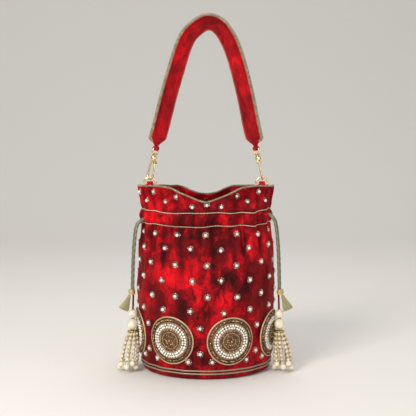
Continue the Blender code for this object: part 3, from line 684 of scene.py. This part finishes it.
medallion = {
    "count": 7,
    "turn": math.radians(21),
    "radius": 0.0255,
    "height": 0.0415,
    "sides": 144,
    # (share of the radius, height) of the stiff ground
    "ground": (
        (0.02, 0.0003), (0.6, 0.0003), (0.985, 0.0003), (1.0, 0.0010),
        (0.975, 0.0017), (0.8, 0.0019), (0.4, 0.0026), (0.02, 0.0026),
    ),
    # (share of the radius, thickness, tint, height) of the metal cords, and of the bands of metal beads
    "cords": (
        (0.985, 0.00085, "paleGold", 0.0015), (0.755, 0.00042, "gold", 0.0021),
        (0.50, 0.00048, "gold", 0.0026), (0.35, 0.00036, "paleGold", 0.0026),
    ),
    "bands": (
        (0.935, 0.00080, "brown", 0.0020), (0.865, 0.00090, "gold", 0.0020), (0.80, 0.00080, "brown", 0.0020),
        (0.445, 0.00070, "gold", 0.0024), (0.385, 0.00080, "brown", 0.0024), (0.315, 0.00085, "bronze", 0.0024),
        (0.245, 0.00085, "bronze", 0.0025), (0.17, 0.00090, "gold", 0.0025), (0.09, 0.00090, "bronze", 0.0025),
    ),
    "pearlRings": (0.575, 0.68),
    "pearl": 0.00135,
    "pearlHeight": 0.0022,
    "boss": 0.0017,
    "bossHeight": 0.0036,
    "glints": (0.35, 0.8, 1.2, 1.7),
    "gold": (0.50, 0.35, 0.17),
    "paleGold": (0.58, 0.46, 0.27),
    "brown": (0.20, 0.085, 0.045),
    "bronze": (0.26, 0.17, 0.085),
    "ivory": (0.90, 0.86, 0.76),
}


def onMedallion(index, radius, turn, lift):
    middle = medallion["turn"] + 2 * math.pi * index / medallion["count"]
    wide, deep, _ = sectionAt(np.array(medallion["height"]))
    pace = math.hypot(float(wide) * math.cos(middle), float(deep) * math.sin(middle))
    turn = np.asarray(turn, float)
    angle = middle + radius * np.cos(turn) / pace
    level = medallion["height"] + radius * np.sin(turn)
    return velvetAt(angle, level, pleated=False, lift=lift)


def makeMedallionGround(index):
    # The stiff ground with its cords, in one mesh.
    reach, sides = medallion["radius"], medallion["sides"]
    around = fullTurn(sides)
    rows = medallion["ground"]
    points = np.concatenate([onMedallion(index, reach * part, around, lift)[0] for part, lift in rows])
    parts = [(points, ringFaces(len(rows), sides), medallion["brown"])]
    for part, radius, tint, lift in medallion["cords"]:
        path, normals = onMedallion(index, reach * part, around, lift)
        rope = ropeTube(path, radius, 2, radius * 4.5, 8, radius * 0.8, side=normals.mean(0), closed=True)
        parts.append((*rope, medallion[tint]))
    points, faces, tints = joined(parts)
    made = newMesh(f"medallion_{index + 1}_ground", points, faces, threadMetal, tints)
    finish(made, "bag", [f"medallion_{index + 1}"])


def makeMedallionBeads(index):
    reach, beads, whites = medallion["radius"], [], []
    for part, radius, tint, height in medallion["bands"]:
        count = max(int(2 * math.pi * reach * part / (radius * 2.15)), 5)
        turns = (np.arange(count) + 0.5 * (index % 2)) / count * 2 * math.pi
        places, normals = onMedallion(index, reach * part, turns, height + radius * 0.45)
        for place, normal in zip(places, normals):
            beads.append((place, radius, varied(medallion[tint], rng.choice(medallion["glints"])), normal))
    radius = medallion["pearl"]
    for part in medallion["pearlRings"]:
        count = int(2 * math.pi * reach * part / (radius * 2.1))
        turns = (np.arange(count) + rng.uniform(-0.12, 0.12, count)) / count * 2 * math.pi
        places, normals = onMedallion(index, reach * part, turns, medallion["pearlHeight"] + radius * 0.5)
        for place, normal in zip(places, normals):
            size = radius * rng.uniform(0.9, 1.08)
            whites.append((place, size, varied(medallion["ivory"], rng.uniform(0.8, 1.05)), normal))
    place, normal = onMedallion(index, 0.0, 0.0, medallion["bossHeight"])
    beads.append((place, medallion["boss"], medallion["gold"], normal))
    for name, group, material, smoothness, roundness in (
        ("beads", beads, beadMetal, 1, 0.8), ("pearls", whites, beadPearl, 2, 0.85)
    ):
        made = makeBeads(f"medallion_{index + 1}_{name}", group, material, smoothness, roundness)
        finish(made, "bag")


for index in range(medallion["count"]):
    makeMedallionGround(index)
    makeMedallionBeads(index)
print("medallions made")

# The studs: a pearl in a ring of small silver beads, in staggered rows

stud = {
    "perRow": 14,
    "shift": math.radians(0.8),
    "bodyLevels": (0.1520, 0.1380, 0.1220, 0.1060, 0.0890, 0.0730),
    "lowLevels": ((0.0560, (0.5,)), (0.0280, (0.5,)), (0.0195, (0.305, 0.695))),
    "frillLevels": (0.1935, 0.1845),
    "pearl": 0.00200,
    "bead": 0.00082,
    "ring": 0.00300,
    "ringCount": 9,
    "ivory": (0.78, 0.73, 0.64),
    "silver": (0.40, 0.37, 0.30),
    "glints": (0.4, 0.9, 1.5),
    "clearance": 0.0030,
    "seamClearance": 0.22,
    "frillSize": 0.92,
    "turnPlay": 0.022,
    "levelPlay": 0.0012,
}


def addStud(angle, level, pearls, silvers, size=1.0):
    place, normal = clothPoint(angle, level)
    side = unit(np.cross([0, 0, 1.0], normal))
    upward = np.cross(normal, side)
    pearls.append((place + normal * stud["pearl"] * 0.55 * size, stud["pearl"] * size, stud["ivory"], normal))
    for k in range(stud["ringCount"]):
        turn = 2 * math.pi * (k + rng.uniform(-0.08, 0.08)) / stud["ringCount"]
        reach = stud["ring"] * size * rng.uniform(0.96, 1.05)
        at = place + normal * stud["bead"] * 0.5 + (side * math.cos(turn) + upward * math.sin(turn)) * reach
        shade = varied(stud["silver"], rng.choice(stud["glints"]))
        silvers.append((at, stud["bead"] * size * rng.uniform(0.9, 1.12), shade, normal))


def makeStuds():
    pearls, silvers = [], []
    step = 2 * math.pi / stud["perRow"]
    for row, level in enumerate(stud["bodyLevels"]):
        for k in range(stud["perRow"]):
            angle = stud["shift"] + step * (k + 0.5 * (row % 2)) + rng.uniform(-1, 1) * stud["turnPlay"]
            addStud(angle, level + rng.uniform(-1, 1) * stud["levelPlay"], pearls, silvers)
    between = 2 * math.pi / medallion["count"]
    for level, parts in stud["lowLevels"]:
        for index in range(medallion["count"]):
            for part in parts:
                aside = (0.5 - abs(part - 0.5)) * between * bag["mouthHalf"][0]
                reach = math.hypot(aside, level - medallion["height"])
                if reach > medallion["radius"] + stud["clearance"]:
                    addStud(medallion["turn"] + between * (index + part), level, pearls, silvers)
    for row, level in enumerate(stud["frillLevels"]):
        for k in range(stud["perRow"]):
            angle = stud["shift"] + step * (k + 0.5 * (row % 2))
            if abs(math.cos(angle)) > stud["seamClearance"]:
                addStud(angle, level, pearls, silvers, stud["frillSize"])
    finish(makeBeads("stud_pearls", pearls, beadPearl, 3, 0.85), "bag")
    finish(makeBeads("stud_silver_beads", silvers, beadMetal, 2, 0.85), "bag")


makeStuds()
print("studs made")

# The piping of the rim, the two trim lines of the base and the casing's stitches

trim = {
    "silver": (0.34, 0.29, 0.19),
    "paleGold": (0.60, 0.48, 0.32),
    "bead": 0.00066,
    "piping": 0.00090,
    "pipingRise": 0.0008,
    "baseLevels": (0.0065, 0.0098),
    "baseCord": 0.00085,
    "stitch": 0.0032,
    "stitchThread": 0.00052,
    "stitchBow": 0.0009,
}


def makeRimPiping():
    # A cord along the rim, with a row of small beads on each side of its top.
    angle = fullTurn(2400)
    rim, _ = clothPoint(angle, bag["height"])
    inner, _ = velvetAt(angle, bag["height"], inset=bag["wall"] * 0.8)
    line = (rim + inner) / 2 + np.array([0, 0, trim["pipingRise"]])
    even, _ = evenPath(line, 0.0006, True)
    rope = ropeTube(even, trim["piping"], 3, 0.0032, 12, 0.0005, side=(0, 0, 1), closed=True)
    finish(newMesh("rim_piping", *rope, threadMetal, trim["silver"]), "bag")
    beads, pitch = [], trim["bead"] * 2.1
    even, _ = evenPath(line, pitch, True)
    along = unit(np.roll(even, -1, 0) - even)
    out = unit(np.cross(along, [0, 0, 1.0]))
    upward = np.array([0, 0, trim["piping"] * 0.62])
    for hand, shift in ((-1, 0.0), (1, 0.5)):
        for at, ahead, aside in zip(even, along, out):
            place = at + ahead * pitch * shift + aside * hand * trim["piping"] * 0.62 + upward
            beads.append((place, trim["bead"], varied(trim["silver"], rng.uniform(0.7, 1.6)), (0, 0, 1)))
    finish(makeBeads("rim_beads", beads, beadMetal, 2, 0.9), "bag")


def makeBaseTrim():
    angle = fullTurn(1200)
    for index, level in enumerate(trim["baseLevels"]):
        line, _ = clothPoint(angle, level, lift=0.0006)
        rope = ropeTube(line, trim["baseCord"], 2, 0.0030, 10, 0.0006, side=(0, 0, 1), closed=True)
        finish(newMesh(f"base_trim_{index + 1}", *rope, threadMetal, trim["silver"]), "bag")


def makeStitches():
    # Two lines of running stitches, one above and one below the drawstrings.
    parts = []
    bow = np.sin(np.linspace(0, math.pi, 7))[:, None] * trim["stitchBow"] - 0.0003
    for line, seam in enumerate((bag["casingLow"], bag["casingHigh"])):
        angle = np.linspace(0, 2 * math.pi, 1601)[:-1]
        level = seam + 0.0007 * np.sin(5 * angle + line) + 0.0004 * np.sin(13 * angle)
        places, normals = clothPoint(angle, level, lift=0.0002)
        lengths = np.concatenate([[0], np.cumsum(np.linalg.norm(np.diff(places, axis=0), axis=1))])
        count = int(lengths[-1] / trim["stitch"])
        for k in range(count):
            span = np.linspace((k + 0.06) / count, (k + 0.94) / count, 7) * lengths[-1]
            path, out = (
                np.stack([np.interp(span, lengths, values[:, i]) for i in range(3)], 1) for values in (places, normals)
            )
            rope = ropeTube(path + out * bow, trim["stitchThread"], 2, 0.0016, 8, 0.0003, side=(0, 0, 1))
            parts.append((*rope, varied(trim["paleGold"], rng.uniform(0.85, 1.15))))
    points, faces, tints = joined(parts)
    finish(newMesh("casing_stitches", points, faces, threadMetal, tints), "bag")


makeRimPiping()
makeBaseTrim()
makeStitches()
print("trims made")


# The drawstrings: two strands at each side, twisted silver cord

cordStyle = {
    "radius": 0.0015,
    "exit": math.radians(75),
    "slit": math.radians(13),
    "pitch": 0.0058,
    "spacing": 0.0034,
    "tint": (0.19, 0.19, 0.12),
    # the right side's route in millimetres, read from the photograph
    "route": (
        (70.2, -12.9, 168.6), (73.8, -14.3, 165.0), (76.0, -15.8, 157.5), (77.3, -17.4, 146.0),
        (78.3, -18.8, 132.0), (79.0, -19.6, 116.0), (79.4, -20.0, 101.0), (79.6, -20.2, 89.0),
    ),
}


def cordLevel(hand):
    return bag["casingMid"] + hand * cordStyle["pitch"] / 2


def cordExit(hand, strand):
    place, normal = velvetAt(np.array(hand * cordStyle["exit"]), np.array(cordLevel(hand)), pleated=False)
    along = np.array([-normal[1], normal[0], 0])
    return place + along * strand * cordStyle["spacing"] / 2, normal, along


def freeCordPath(hand, strand):
    start, normal, along = cordExit(hand, strand)
    drop = cordLevel(hand) - cordLevel(1)
    route = [start + normal * bag["gap"]]
    for i, (x, y, z) in enumerate(cordStyle["route"]):
        fade = 1 - i / (len(cordStyle["route"]) - 1)
        route.append(np.array([hand * x, y, z + drop * 1000 * fade]) / 1000 + along * strand * cordStyle["spacing"] / 2)
    return routeCurve(route, 120)


def makeCords(hand, side):
    # The two free strands, each as (cord, path, length).
    made = []
    for strand in (-1, 1):
        which = "front" if strand * hand < 0 else "back"
        path, length = evenPath(freeCordPath(hand, strand), 0.0007)
        rope = ropeTube(path, cordStyle["radius"], 3, 0.0068, 24, 0.0004, groove=0.42)
        cord = newMesh(f"drawstring_{side}_{which}", *rope, threadMetal, cordStyle["tint"])
        finish(cord, "bag", [f"cord_{side}_{which}"])
        made.append((cord, path, length))
    return made


def makeCasingRope(hand, side):
    # The stretch inside the casing: in at the slit, once round the bag and out again.
    inset = bag["wall"] + bag["pleatDepth"] + bag["gap"] + cordStyle["radius"]
    slit = cordStyle["slit"]
    turns = hand * cordStyle["exit"] + slit + (2 * math.pi - 2 * slit) * np.arange(37) / 36
    arc, _ = velvetAt(turns, cordLevel(hand), inset=inset, pleated=False)
    first, last = (
        [place - normal * depth for depth in (0.0006, 0.0035)]
        for place, normal, _ in (cordExit(hand, 1), cordExit(hand, -1))
    )
    route = [*first, *arc, *last[::-1]]
    rope = ropeTube(routeCurve(route, 400), cordStyle["radius"], 3, 0.0075, 12, 0.001, side=(0, 0, 1))
    made = newMesh(f"casing_rope_{side}", *rope, threadMetal, cordStyle["tint"])
    finish(made, "bag", [f"casing_cord_{side}"])


# The tassels: a gold binding, an olive thread skirt, a red hanger, two pearls and bead strands

tassel = {
    "foot": (0.0796, -0.0202, 0.0890),
    "bindingHeight": 0.0052,
    "bindingRadius": 0.0038,
    "drop": 0.0008,
    "skirtReach": 0.0038,
    "skirtLean": math.radians(23),
    # (radius, height) from the inside of the skirt's foot up, and of the bead cap in the same way
    "skirtRows": (
        (0.00208, -0.016684), (0.00494, -0.0172), (0.0052, -0.016942), (0.004888, -0.015136), (0.004368, -0.012556),
        (0.003432, -0.009116), (0.0026, -0.00602), (0.0020, -0.003268), (0.0017, -0.00172), (0.0012, -0.000344),
    ),
    "lean": (0.030, -0.012, -1.0),
    "hanger": 0.0155,
    "hangerRadius": 0.0011,
    "smallPearl": 0.0048,
    "largePearl": 0.0062,
    "collarBead": 0.00062,
    "collarCount": 7,
    "capHeight": 0.0016,
    "capRows": (
        (0.0028, -0.0016), (0.0054, -0.0017), (0.0056, -0.0012), (0.0048, -0.0006), (0.0031, -0.0001), (0.0010, 0.0),
    ),
    # how much shorter each strand is, as a share of the most that one is
    "strands": (0.0, 0.5, 0.25, 0.9, 0.1, 0.65, 0.35, 0.8, 0.2, 0.45),
    "mostShort": 0.0075,
    "clearance": 0.0058,
    "topSpread": 0.0043,
    "endSpread": 0.0093,
    "sway": (0.0045, -0.006, 0),
    "beadPitch": 0.0040,
    "bead": 0.00180,
    "endBead": 0.0031,
    "spacer": 0.00105,
    "olive": (0.42, 0.38, 0.20),
    "ivory": (0.84, 0.75, 0.58),
    "strand": (0.76, 0.66, 0.45),
    "gold": (0.66, 0.48, 0.20),
}


def makeBinding(center, side):
    profile = []
    for part in np.linspace(0, 1, 41):
        swell = 0.86 + 0.1 * math.sin(math.pi * part)
        wrap = 1 + 0.07 * math.cos(2 * math.pi * part * 8)
        profile.append((tassel["bindingRadius"] * swell * wrap, part * tassel["bindingHeight"]))
    turned = placed(turnedProfile(profile, 40), Matrix.Translation(center))
    binding = newMesh(f"binding_wraps_{side}", *turned, threadMetal, tassel["gold"])
    return finish(binding, "bag", [f"cord_binding_{side}"])


def makeSkirt(pivot, hand, side):
    rows = np.array(tassel["skirtRows"])
    fine = np.concatenate([[0, 0.5, 1, 1.5], np.linspace(2, len(rows) - 1, 40)])
    profile = [tuple(float(np.interp(k, range(len(rows)), rows[:, i])) for i in (0, 1)) for k in fine]
    place = Matrix.Translation((pivot[0] + hand * tassel["skirtReach"], pivot[1], pivot[2]))
    place = place @ Matrix.Rotation(-hand * tassel["skirtLean"], 4, "Y")
    turned = placed(turnedProfile(profile, 240, 46, 0.075, 0.09), place)
    skirt = newMesh(f"thread_skirt_{side}", *turned, threadMetal, tassel["olive"])
    return finish(skirt, f"tassel_{side}", [f"tassel_skirt_{side}"])


def strandPath(index, hand, top):
    # The last strand hangs in the middle, and the others round it.
    outer = len(tassel["strands"]) - 1
    turn = 2 * math.pi * (index + 0.5) / outer
    spread = np.array([math.cos(turn), math.sin(turn), 0]) * (0.0 if index == outer else 1.0)
    start = top + spread * tassel["topSpread"]
    end = top + np.array(tassel["sway"]) * (hand, 1, 1) + spread * tassel["endSpread"]
    drop = top[2] - tassel["clearance"] - tassel["mostShort"] * tassel["strands"][index]
    count = int(drop / tassel["beadPitch"])
    path = []
    for part in np.arange(count + 1) / count:
        wander = np.array([math.sin(index * 1.7 + part * 3.2), math.cos(index * 2.3 + part * 2.7), 0])
        at = start + (end - start) * (part**0.9, part**0.9, 0) + wander * 0.0006 * part
        path.append(at + spread * 0.0011 * math.sin(math.pi * part) - (0, 0, part * drop))
    return np.array(path)


def makeTassel(hand, side):
    # Returns the pieces that hang from the cords' ends.
    body = f"tassel_{side}"
    foot = np.array(tassel["foot"]) * (hand, 1, 1)
    low = foot[2] - bag["gap"] - tassel["bindingHeight"]
    binding = makeBinding(Vector((foot[0] + hand * tassel["drop"], foot[1], low)), side)
    pivot = np.array([foot[0] - hand * tassel["drop"], foot[1], low - tassel["drop"]])
    skirt = makeSkirt(pivot, hand, side)

    lean = unit(np.array(tassel["lean"]) * (hand, 1, 1))
    line = [pivot + lean * tassel["hanger"] * t for t in (0.0, 0.5, 1.0)]
    rope = ropeTube(line, tassel["hangerRadius"], 3, 0.0040, 14, 0.0004)
    hanger = finish(newMesh(f"red_hanger_{side}", *rope, redVelvet), body, [f"pearl_hanger_{side}"])

    pearls, golds = [], []
    small = pivot + lean * (tassel["hanger"] + bag["gap"] + tassel["smallPearl"])
    large = small + lean * (tassel["smallPearl"] + bag["gap"] + tassel["largePearl"])
    for at, radius in ((small, tassel["smallPearl"]), (large, tassel["largePearl"])):
        pearls.append((at, radius, tassel["ivory"], lean))
        for end in (-1, 1):
            for k in range(tassel["collarCount"]):
                turn = 2 * math.pi * k / tassel["collarCount"]
                away = np.array([math.cos(turn), math.sin(turn), 0]) * radius * 0.30
                golds.append((at + lean * end * radius * 0.93 + away, tassel["collarBead"], tassel["gold"], lean))
    capTop = large - (0, 0, tassel["largePearl"] + bag["gap"])
    turned = placed(turnedProfile(tassel["capRows"], 96, 12, 0.06), Matrix.Translation(Vector(capTop)))
    cap = newMesh(f"filigree_cap_{side}", *turned, goldMetal, tassel["gold"])
    finish(cap, body, [f"bead_cap_{side}"])

    threads = []
    for index in range(len(tassel["strands"])):
        path = strandPath(index, hand, capTop - (0, 0, tassel["capHeight"] + bag["gap"]))
        along = unit(np.gradient(path, axis=0))
        for k in range(len(path) - 1):
            tint = varied(tassel["strand"], rng.uniform(0.8, 1.1))
            radius = tassel["bead"] * rng.uniform(0.95, 1.04)
            pearls.append(((path[k] + path[k + 1]) / 2, radius, tint, along[k]))
            golds.append((path[k], tassel["spacer"], tassel["gold"], along[k]))
        pearls.append((path[-1] + along[-1] * 0.0018, tassel["endBead"], tassel["ivory"], along[-1]))
        golds.append((path[-1] + along[-1] * 0.0048, 0.0008, tassel["gold"], along[-1]))
        threads.append((*ropeTube(path, 0.0003, 2, 0.002, 8, 0.0008), tassel["ivory"]))
    points, faces, tints = joined(threads)
    thread = newMesh(f"strand_threads_{side}", points, faces, threadMetal, tints)
    finish(thread, body, [f"bead_strand_{side}_{k}" for k in range(1, 7)])
    replaced = [f"pearl_small_{side}", f"pearl_large_{side}"]
    finish(makeBeads(f"tassel_pearls_{side}", pearls, beadPearl, 3), body, replaced)
    finish(makeBeads(f"tassel_gold_beads_{side}", golds, beadMetal, 2, 0.8), body)
    return [binding, skirt, hanger, cap]


for hand, side in ((-1, "left"), (1, "right")):
    cords = makeCords(hand, side)
    makeCasingRope(hand, side)
    hung = makeTassel(hand, side)
print("cords and tassels made")


# The hardware and the tabs: fine copies of the CAD's pieces, rounded by subdivision

def roundedCopy(name, node, body, material, tint, levels=2):
    mesh = nodes[node].data.copy()
    mesh.name = name + "Source"
    mesh.materials.clear()
    mesh.materials.append(material)
    work = linked(name + "Source", mesh)
    weld = work.modifiers.new("weld", "WELD")
    weld.merge_threshold = 0.00002
    if levels:
        rounding = work.modifiers.new("rounding", "SUBSURF")
        rounding.levels = rounding.render_levels = levels
    made = realMesh(work, name, False)
    setTint(made.data, tint)
    return finish(made, body, [node], smooth=levels > 0)


hardware = {"gold": (0.88, 0.68, 0.38), "rivet": (0.70, 0.52, 0.28), "card": (0.45, 0.43, 0.40)}
for side in ("left", "right"):
    roundedCopy(f"dee_{side}", f"d_ring_{side}", "strap", goldMetal, hardware["gold"])
    roundedCopy(f"eye_{side}", f"swivel_eye_{side}", "strap", goldMetal, hardware["gold"])
    roundedCopy(f"hook_{side}", f"claw_{side}", f"hook_{side}", goldMetal, hardware["gold"])
    roundedCopy(f"rivet_{side}", f"gate_rivet_{side}", f"hook_{side}", goldMetal, hardware["rivet"], 1)
    roundedCopy(f"spring_gate_{side}", f"gate_{side}", f"gate_{side}", goldMetal, hardware["gold"])
    roundedCopy(f"tab_cloth_{side}", f"tab_{side}", "bag", paintedLightVelvet, (1, 1, 1))
roundedCopy("stiff_base", "base_board", "bag", card, hardware["card"], 0)
print("hardware made")

# The strap: padded velvet with beaded piping on its front edge

strap = {
    # the crown's route in millimetres, (x, z)
    "route": (
        (-49, 262), (-40.5, 295), (-31, 328), (-20.5, 358), (-8, 371.5), (3, 376),
        (14.5, 371), (25.5, 354), (34.5, 328), (42, 298), (49, 264),
    ),
    "turn": math.radians(36),
    "halfWidth": 0.0140,
    "halfThickness": 0.0019,
    "taper": 0.010,
    "loopWall": 0.0012,
    "clear": 0.0014,
    "tongue": 0.0032,
    "eyeBar": 0.0320,
    "stations": 420,
    "columns": 72,
    "seamAt": 0.84,
    "seamDepth": 0.32,
    "piping": 0.0011,
    "pipingBead": 0.00090,
    "stitchThread": 0.00022,
}


def makeStrapLine():
    # The strap's middle line, the two eye bars that it loops over, and its directions at each station.
    ends, near, start = [], [], []
    for hand in (-1, 1):
        up = np.array([-hand * math.sin(bag["hookLean"]), 0, math.cos(bag["hookLean"])])
        end = np.array([hand * bag["ringReach"], 0, bag["ringCrown"]]) + up * strap["eyeBar"]
        ends.append(end)
        start.append(end + up * (strap["clear"] + strap["loopWall"] * 0.6))
        near.append(end + up * (strap["clear"] + strap["taper"]))
    middle = [np.array([x, 0, z]) / 1000 for x, z in strap["route"]]
    path, length = evenPath(routeCurve([start[0], near[0], *middle, near[1], start[1]], 800), 0.001)
    share, found = np.linspace(0, 1, strap["stations"]), np.linspace(0, 1, len(path))
    path = np.stack([np.interp(share, found, path[:, k]) for k in range(3)], 1)
    along = unit(np.gradient(path, axis=0))
    outward = np.stack([-along[:, 2], np.zeros(len(path)), along[:, 0]], 1)
    wide = np.array([0, -1.0, 0]) * math.cos(strap["turn"]) + outward * math.sin(strap["turn"])
    return ends, path, length, along, wide, np.cross(along, wide)


def makeLoop(end, along, wide):
    # The sewn loop round an eye's bar.
    turned = np.stack([np.cross(along, wide), along, wide], 1)
    clear, loop = strap["clear"], []
    section = ((clear, -1), (clear + 0.0010, -1), (clear + 0.0012, 0), (clear + 0.0010, 1), (clear, 1))
    for k in range(64):
        angle = 2 * math.pi * k / 64
        for reach, side in section:
            local = np.array([reach * math.cos(angle), reach * math.sin(angle), side * strap["tongue"]])
            loop.append(end + turned @ local)
    return np.array(loop), ringFaces(64, len(section), True)


def makeStrap():
    ends, path, length, along, wide, thick = makeStrapLine()
    at = np.linspace(0, length, len(path))
    full = ease(np.minimum(at, length - at) / strap["taper"])
    half = strap["tongue"] + (strap["halfWidth"] - strap["tongue"]) * full
    thin = strap["loopWall"] * 0.55 + (strap["halfThickness"] - strap["loopWall"] * 0.55) * full
    # A soft box section with a stitched groove near each edge, and slight ripples beside it.
    around = fullTurn(strap["columns"])
    across = np.sign(np.cos(around)) * np.abs(np.cos(around)) ** 0.62
    lift = np.sign(np.sin(around)) * np.abs(np.sin(around)) ** 0.5
    fromSeam = np.abs(across) - strap["seamAt"]
    seam = 1 - strap["seamDepth"] * np.exp(-((fromSeam / 0.035) ** 2))
    pucker = 0.10 * np.sin(at[:, None] * 410 + 3 * across) * np.exp(-((fromSeam / 0.16) ** 2))
    ripple = 1 + pucker + 0.08 * np.sin(at[:, None] * 130 + 4 * across + 1.2)
    points = (
        path[:, None] + wide[:, None] * (half[:, None] * across)[..., None]
        + thick[:, None] * (thin[:, None] * lift * seam * ripple)[..., None]
    )
    parts = [(points.reshape(-1, 3), ringFaces(len(path), strap["columns"]))]
    parts += [makeLoop(end, along[i], wide[i]) for end, i in zip(ends, (0, -1))]
    points, faces, _ = joined(parts)
    cloth = finish(newMesh("strap_velvet", points, faces, paintedLightVelvet), "strap", ["strap"])

    # The front edge's cord with three rows of beads, and a line of stitches on each face of the back edge
    inside = (at > strap["taper"] * 0.55) & (at < length - strap["taper"] * 0.55)
    edge = (path + wide * (half - 0.0002)[:, None])[inside]
    threads = [(*ropeTube(edge, strap["piping"], 2, 0.0028, 10, 0.0006, side=(0, 1, 0.1)), trim["silver"])]
    beads = []
    for row in (-1, 0, 1):
        out = wide[inside] * 0.0007 * (1.3 if row == 0 else 0.7)
        line, _ = evenPath(edge + out + thick[inside] * row * 0.00125, 0.00188)
        ahead = unit(np.gradient(line, axis=0))
        for place, forward in zip(line, ahead):
            shade = varied(trim["silver"], rng.uniform(0.7, 1.6))
            beads.append((place + forward * 0.00094 * (row == 0), strap["pipingBead"], shade, forward))
    for face in (-1, 1):
        line = path - wide * (half * strap["seamAt"])[:, None] + thick * (thin * 0.74 * face)[:, None]
        line, _ = evenPath(line[inside], 0.0003)
        for k in range(0, len(line) - 8, 10):
            rope = ropeTube(line[k : k + 8], strap["stitchThread"], 2, 0.001, 6, 0.0003)
            threads.append((*rope, trim["paleGold"]))
    points, faces, tints = joined(threads)
    finish(newMesh("strap_piping", points, faces, threadMetal, tints), "strap")
    finish(makeBeads("strap_beads", beads, beadMetal, 2, 0.9), "strap")


makeStrap()
print("strap made")

# The stage, the light and the camera

studio = {
    "floor": (0.80, 0.77, 0.72, 1),
    "floorReach": 4.0,
    "bendStart": 0.9,
    "bendRadius": 0.8,
    "world": (0.93, 0.95, 1.0, 1),
    "worldStrength": 0.42,
    "target": (0.0022, 0.0, 0.1752),
    "distance": 1.50,
    "cameraHeight": 0.37,
    "lens": 120.0,
    "lights": (
        ("keyLight", (-0.70, -1.10, 0.95), 0.55, 17.0, (1.0, 0.97, 0.93)),
        ("fillLight", (1.15, -0.75, 0.55), 0.80, 2.4, (0.95, 0.97, 1.0)),
        ("topLight", (0.1, 0.35, 1.25), 0.70, 6.0, (1.0, 1.0, 1.0)),
        ("frontLight", (0.1, -1.5, 0.35), 0.50, 3.0, (1.0, 0.98, 0.96)),
    ),
}


def lookAt(made, place, target):
    made.location = place
    made.rotation_euler = (target - Vector(place)).to_track_quat("-Z", "Y").to_euler()


def makeFloor():
    floor, tree, shader = newMaterial("paleFloor", {"Roughness": 0.7, "Specular IOR Level": 0.2})
    grain = addNode(tree, "ShaderNodeTexNoise", Scale=6.0, Detail=2.0)
    darker = (*[c * 0.97 for c in studio["floor"][:3]], 1)
    tree.links.new(mixColor(tree, grain.outputs[0], studio["floor"], darker), shader.inputs["Base Color"])
    # The floor rises behind the bag in one smooth sweep, so that no horizon shows.
    start, radius, far = studio["bendStart"], studio["bendRadius"], studio["floorReach"]
    turns = np.linspace(0, math.pi / 2, 24)
    bend = [(start + radius * math.sin(t), radius - radius * math.cos(t)) for t in turns]
    profile = [(-far, 0.0), (start, 0.0), *bend, (start + radius, far)]
    points = [(x, y, z - 0.0002) for y, z in profile for x in (-5, 5)]
    faces = [(2 * i, 2 * i + 1, 2 * i + 3, 2 * i + 2) for i in range(len(profile) - 1)]
    made = newMesh("studio_floor", points, faces, floor)
    made.data.shade_smooth()


def makeLightAndCamera():
    scene = bpy.context.scene
    world = bpy.data.worlds.new("paleRoom")
    world.use_nodes = True
    background = world.node_tree.nodes["Background"]
    background.inputs["Color"].default_value = studio["world"]
    background.inputs["Strength"].default_value = studio["worldStrength"]
    scene.world = world
    target = Vector(studio["target"])
    for name, place, size, power, color in studio["lights"]:
        light = bpy.data.lights.new(name, "AREA")
        light.size, light.energy, light.color = size, power, color
        lookAt(linked(name, light), place, target)
    camera = linked("camera", bpy.data.cameras.new("camera"))
    camera.data.lens = studio["lens"]
    camera.data.sensor_width = 36.0
    lookAt(camera, (target.x, -studio["distance"], studio["cameraHeight"]), target)
    scene.camera = camera
    scene.view_settings.view_transform = "Standard"


makeFloor()
makeLightAndCamera()
print("stage made")
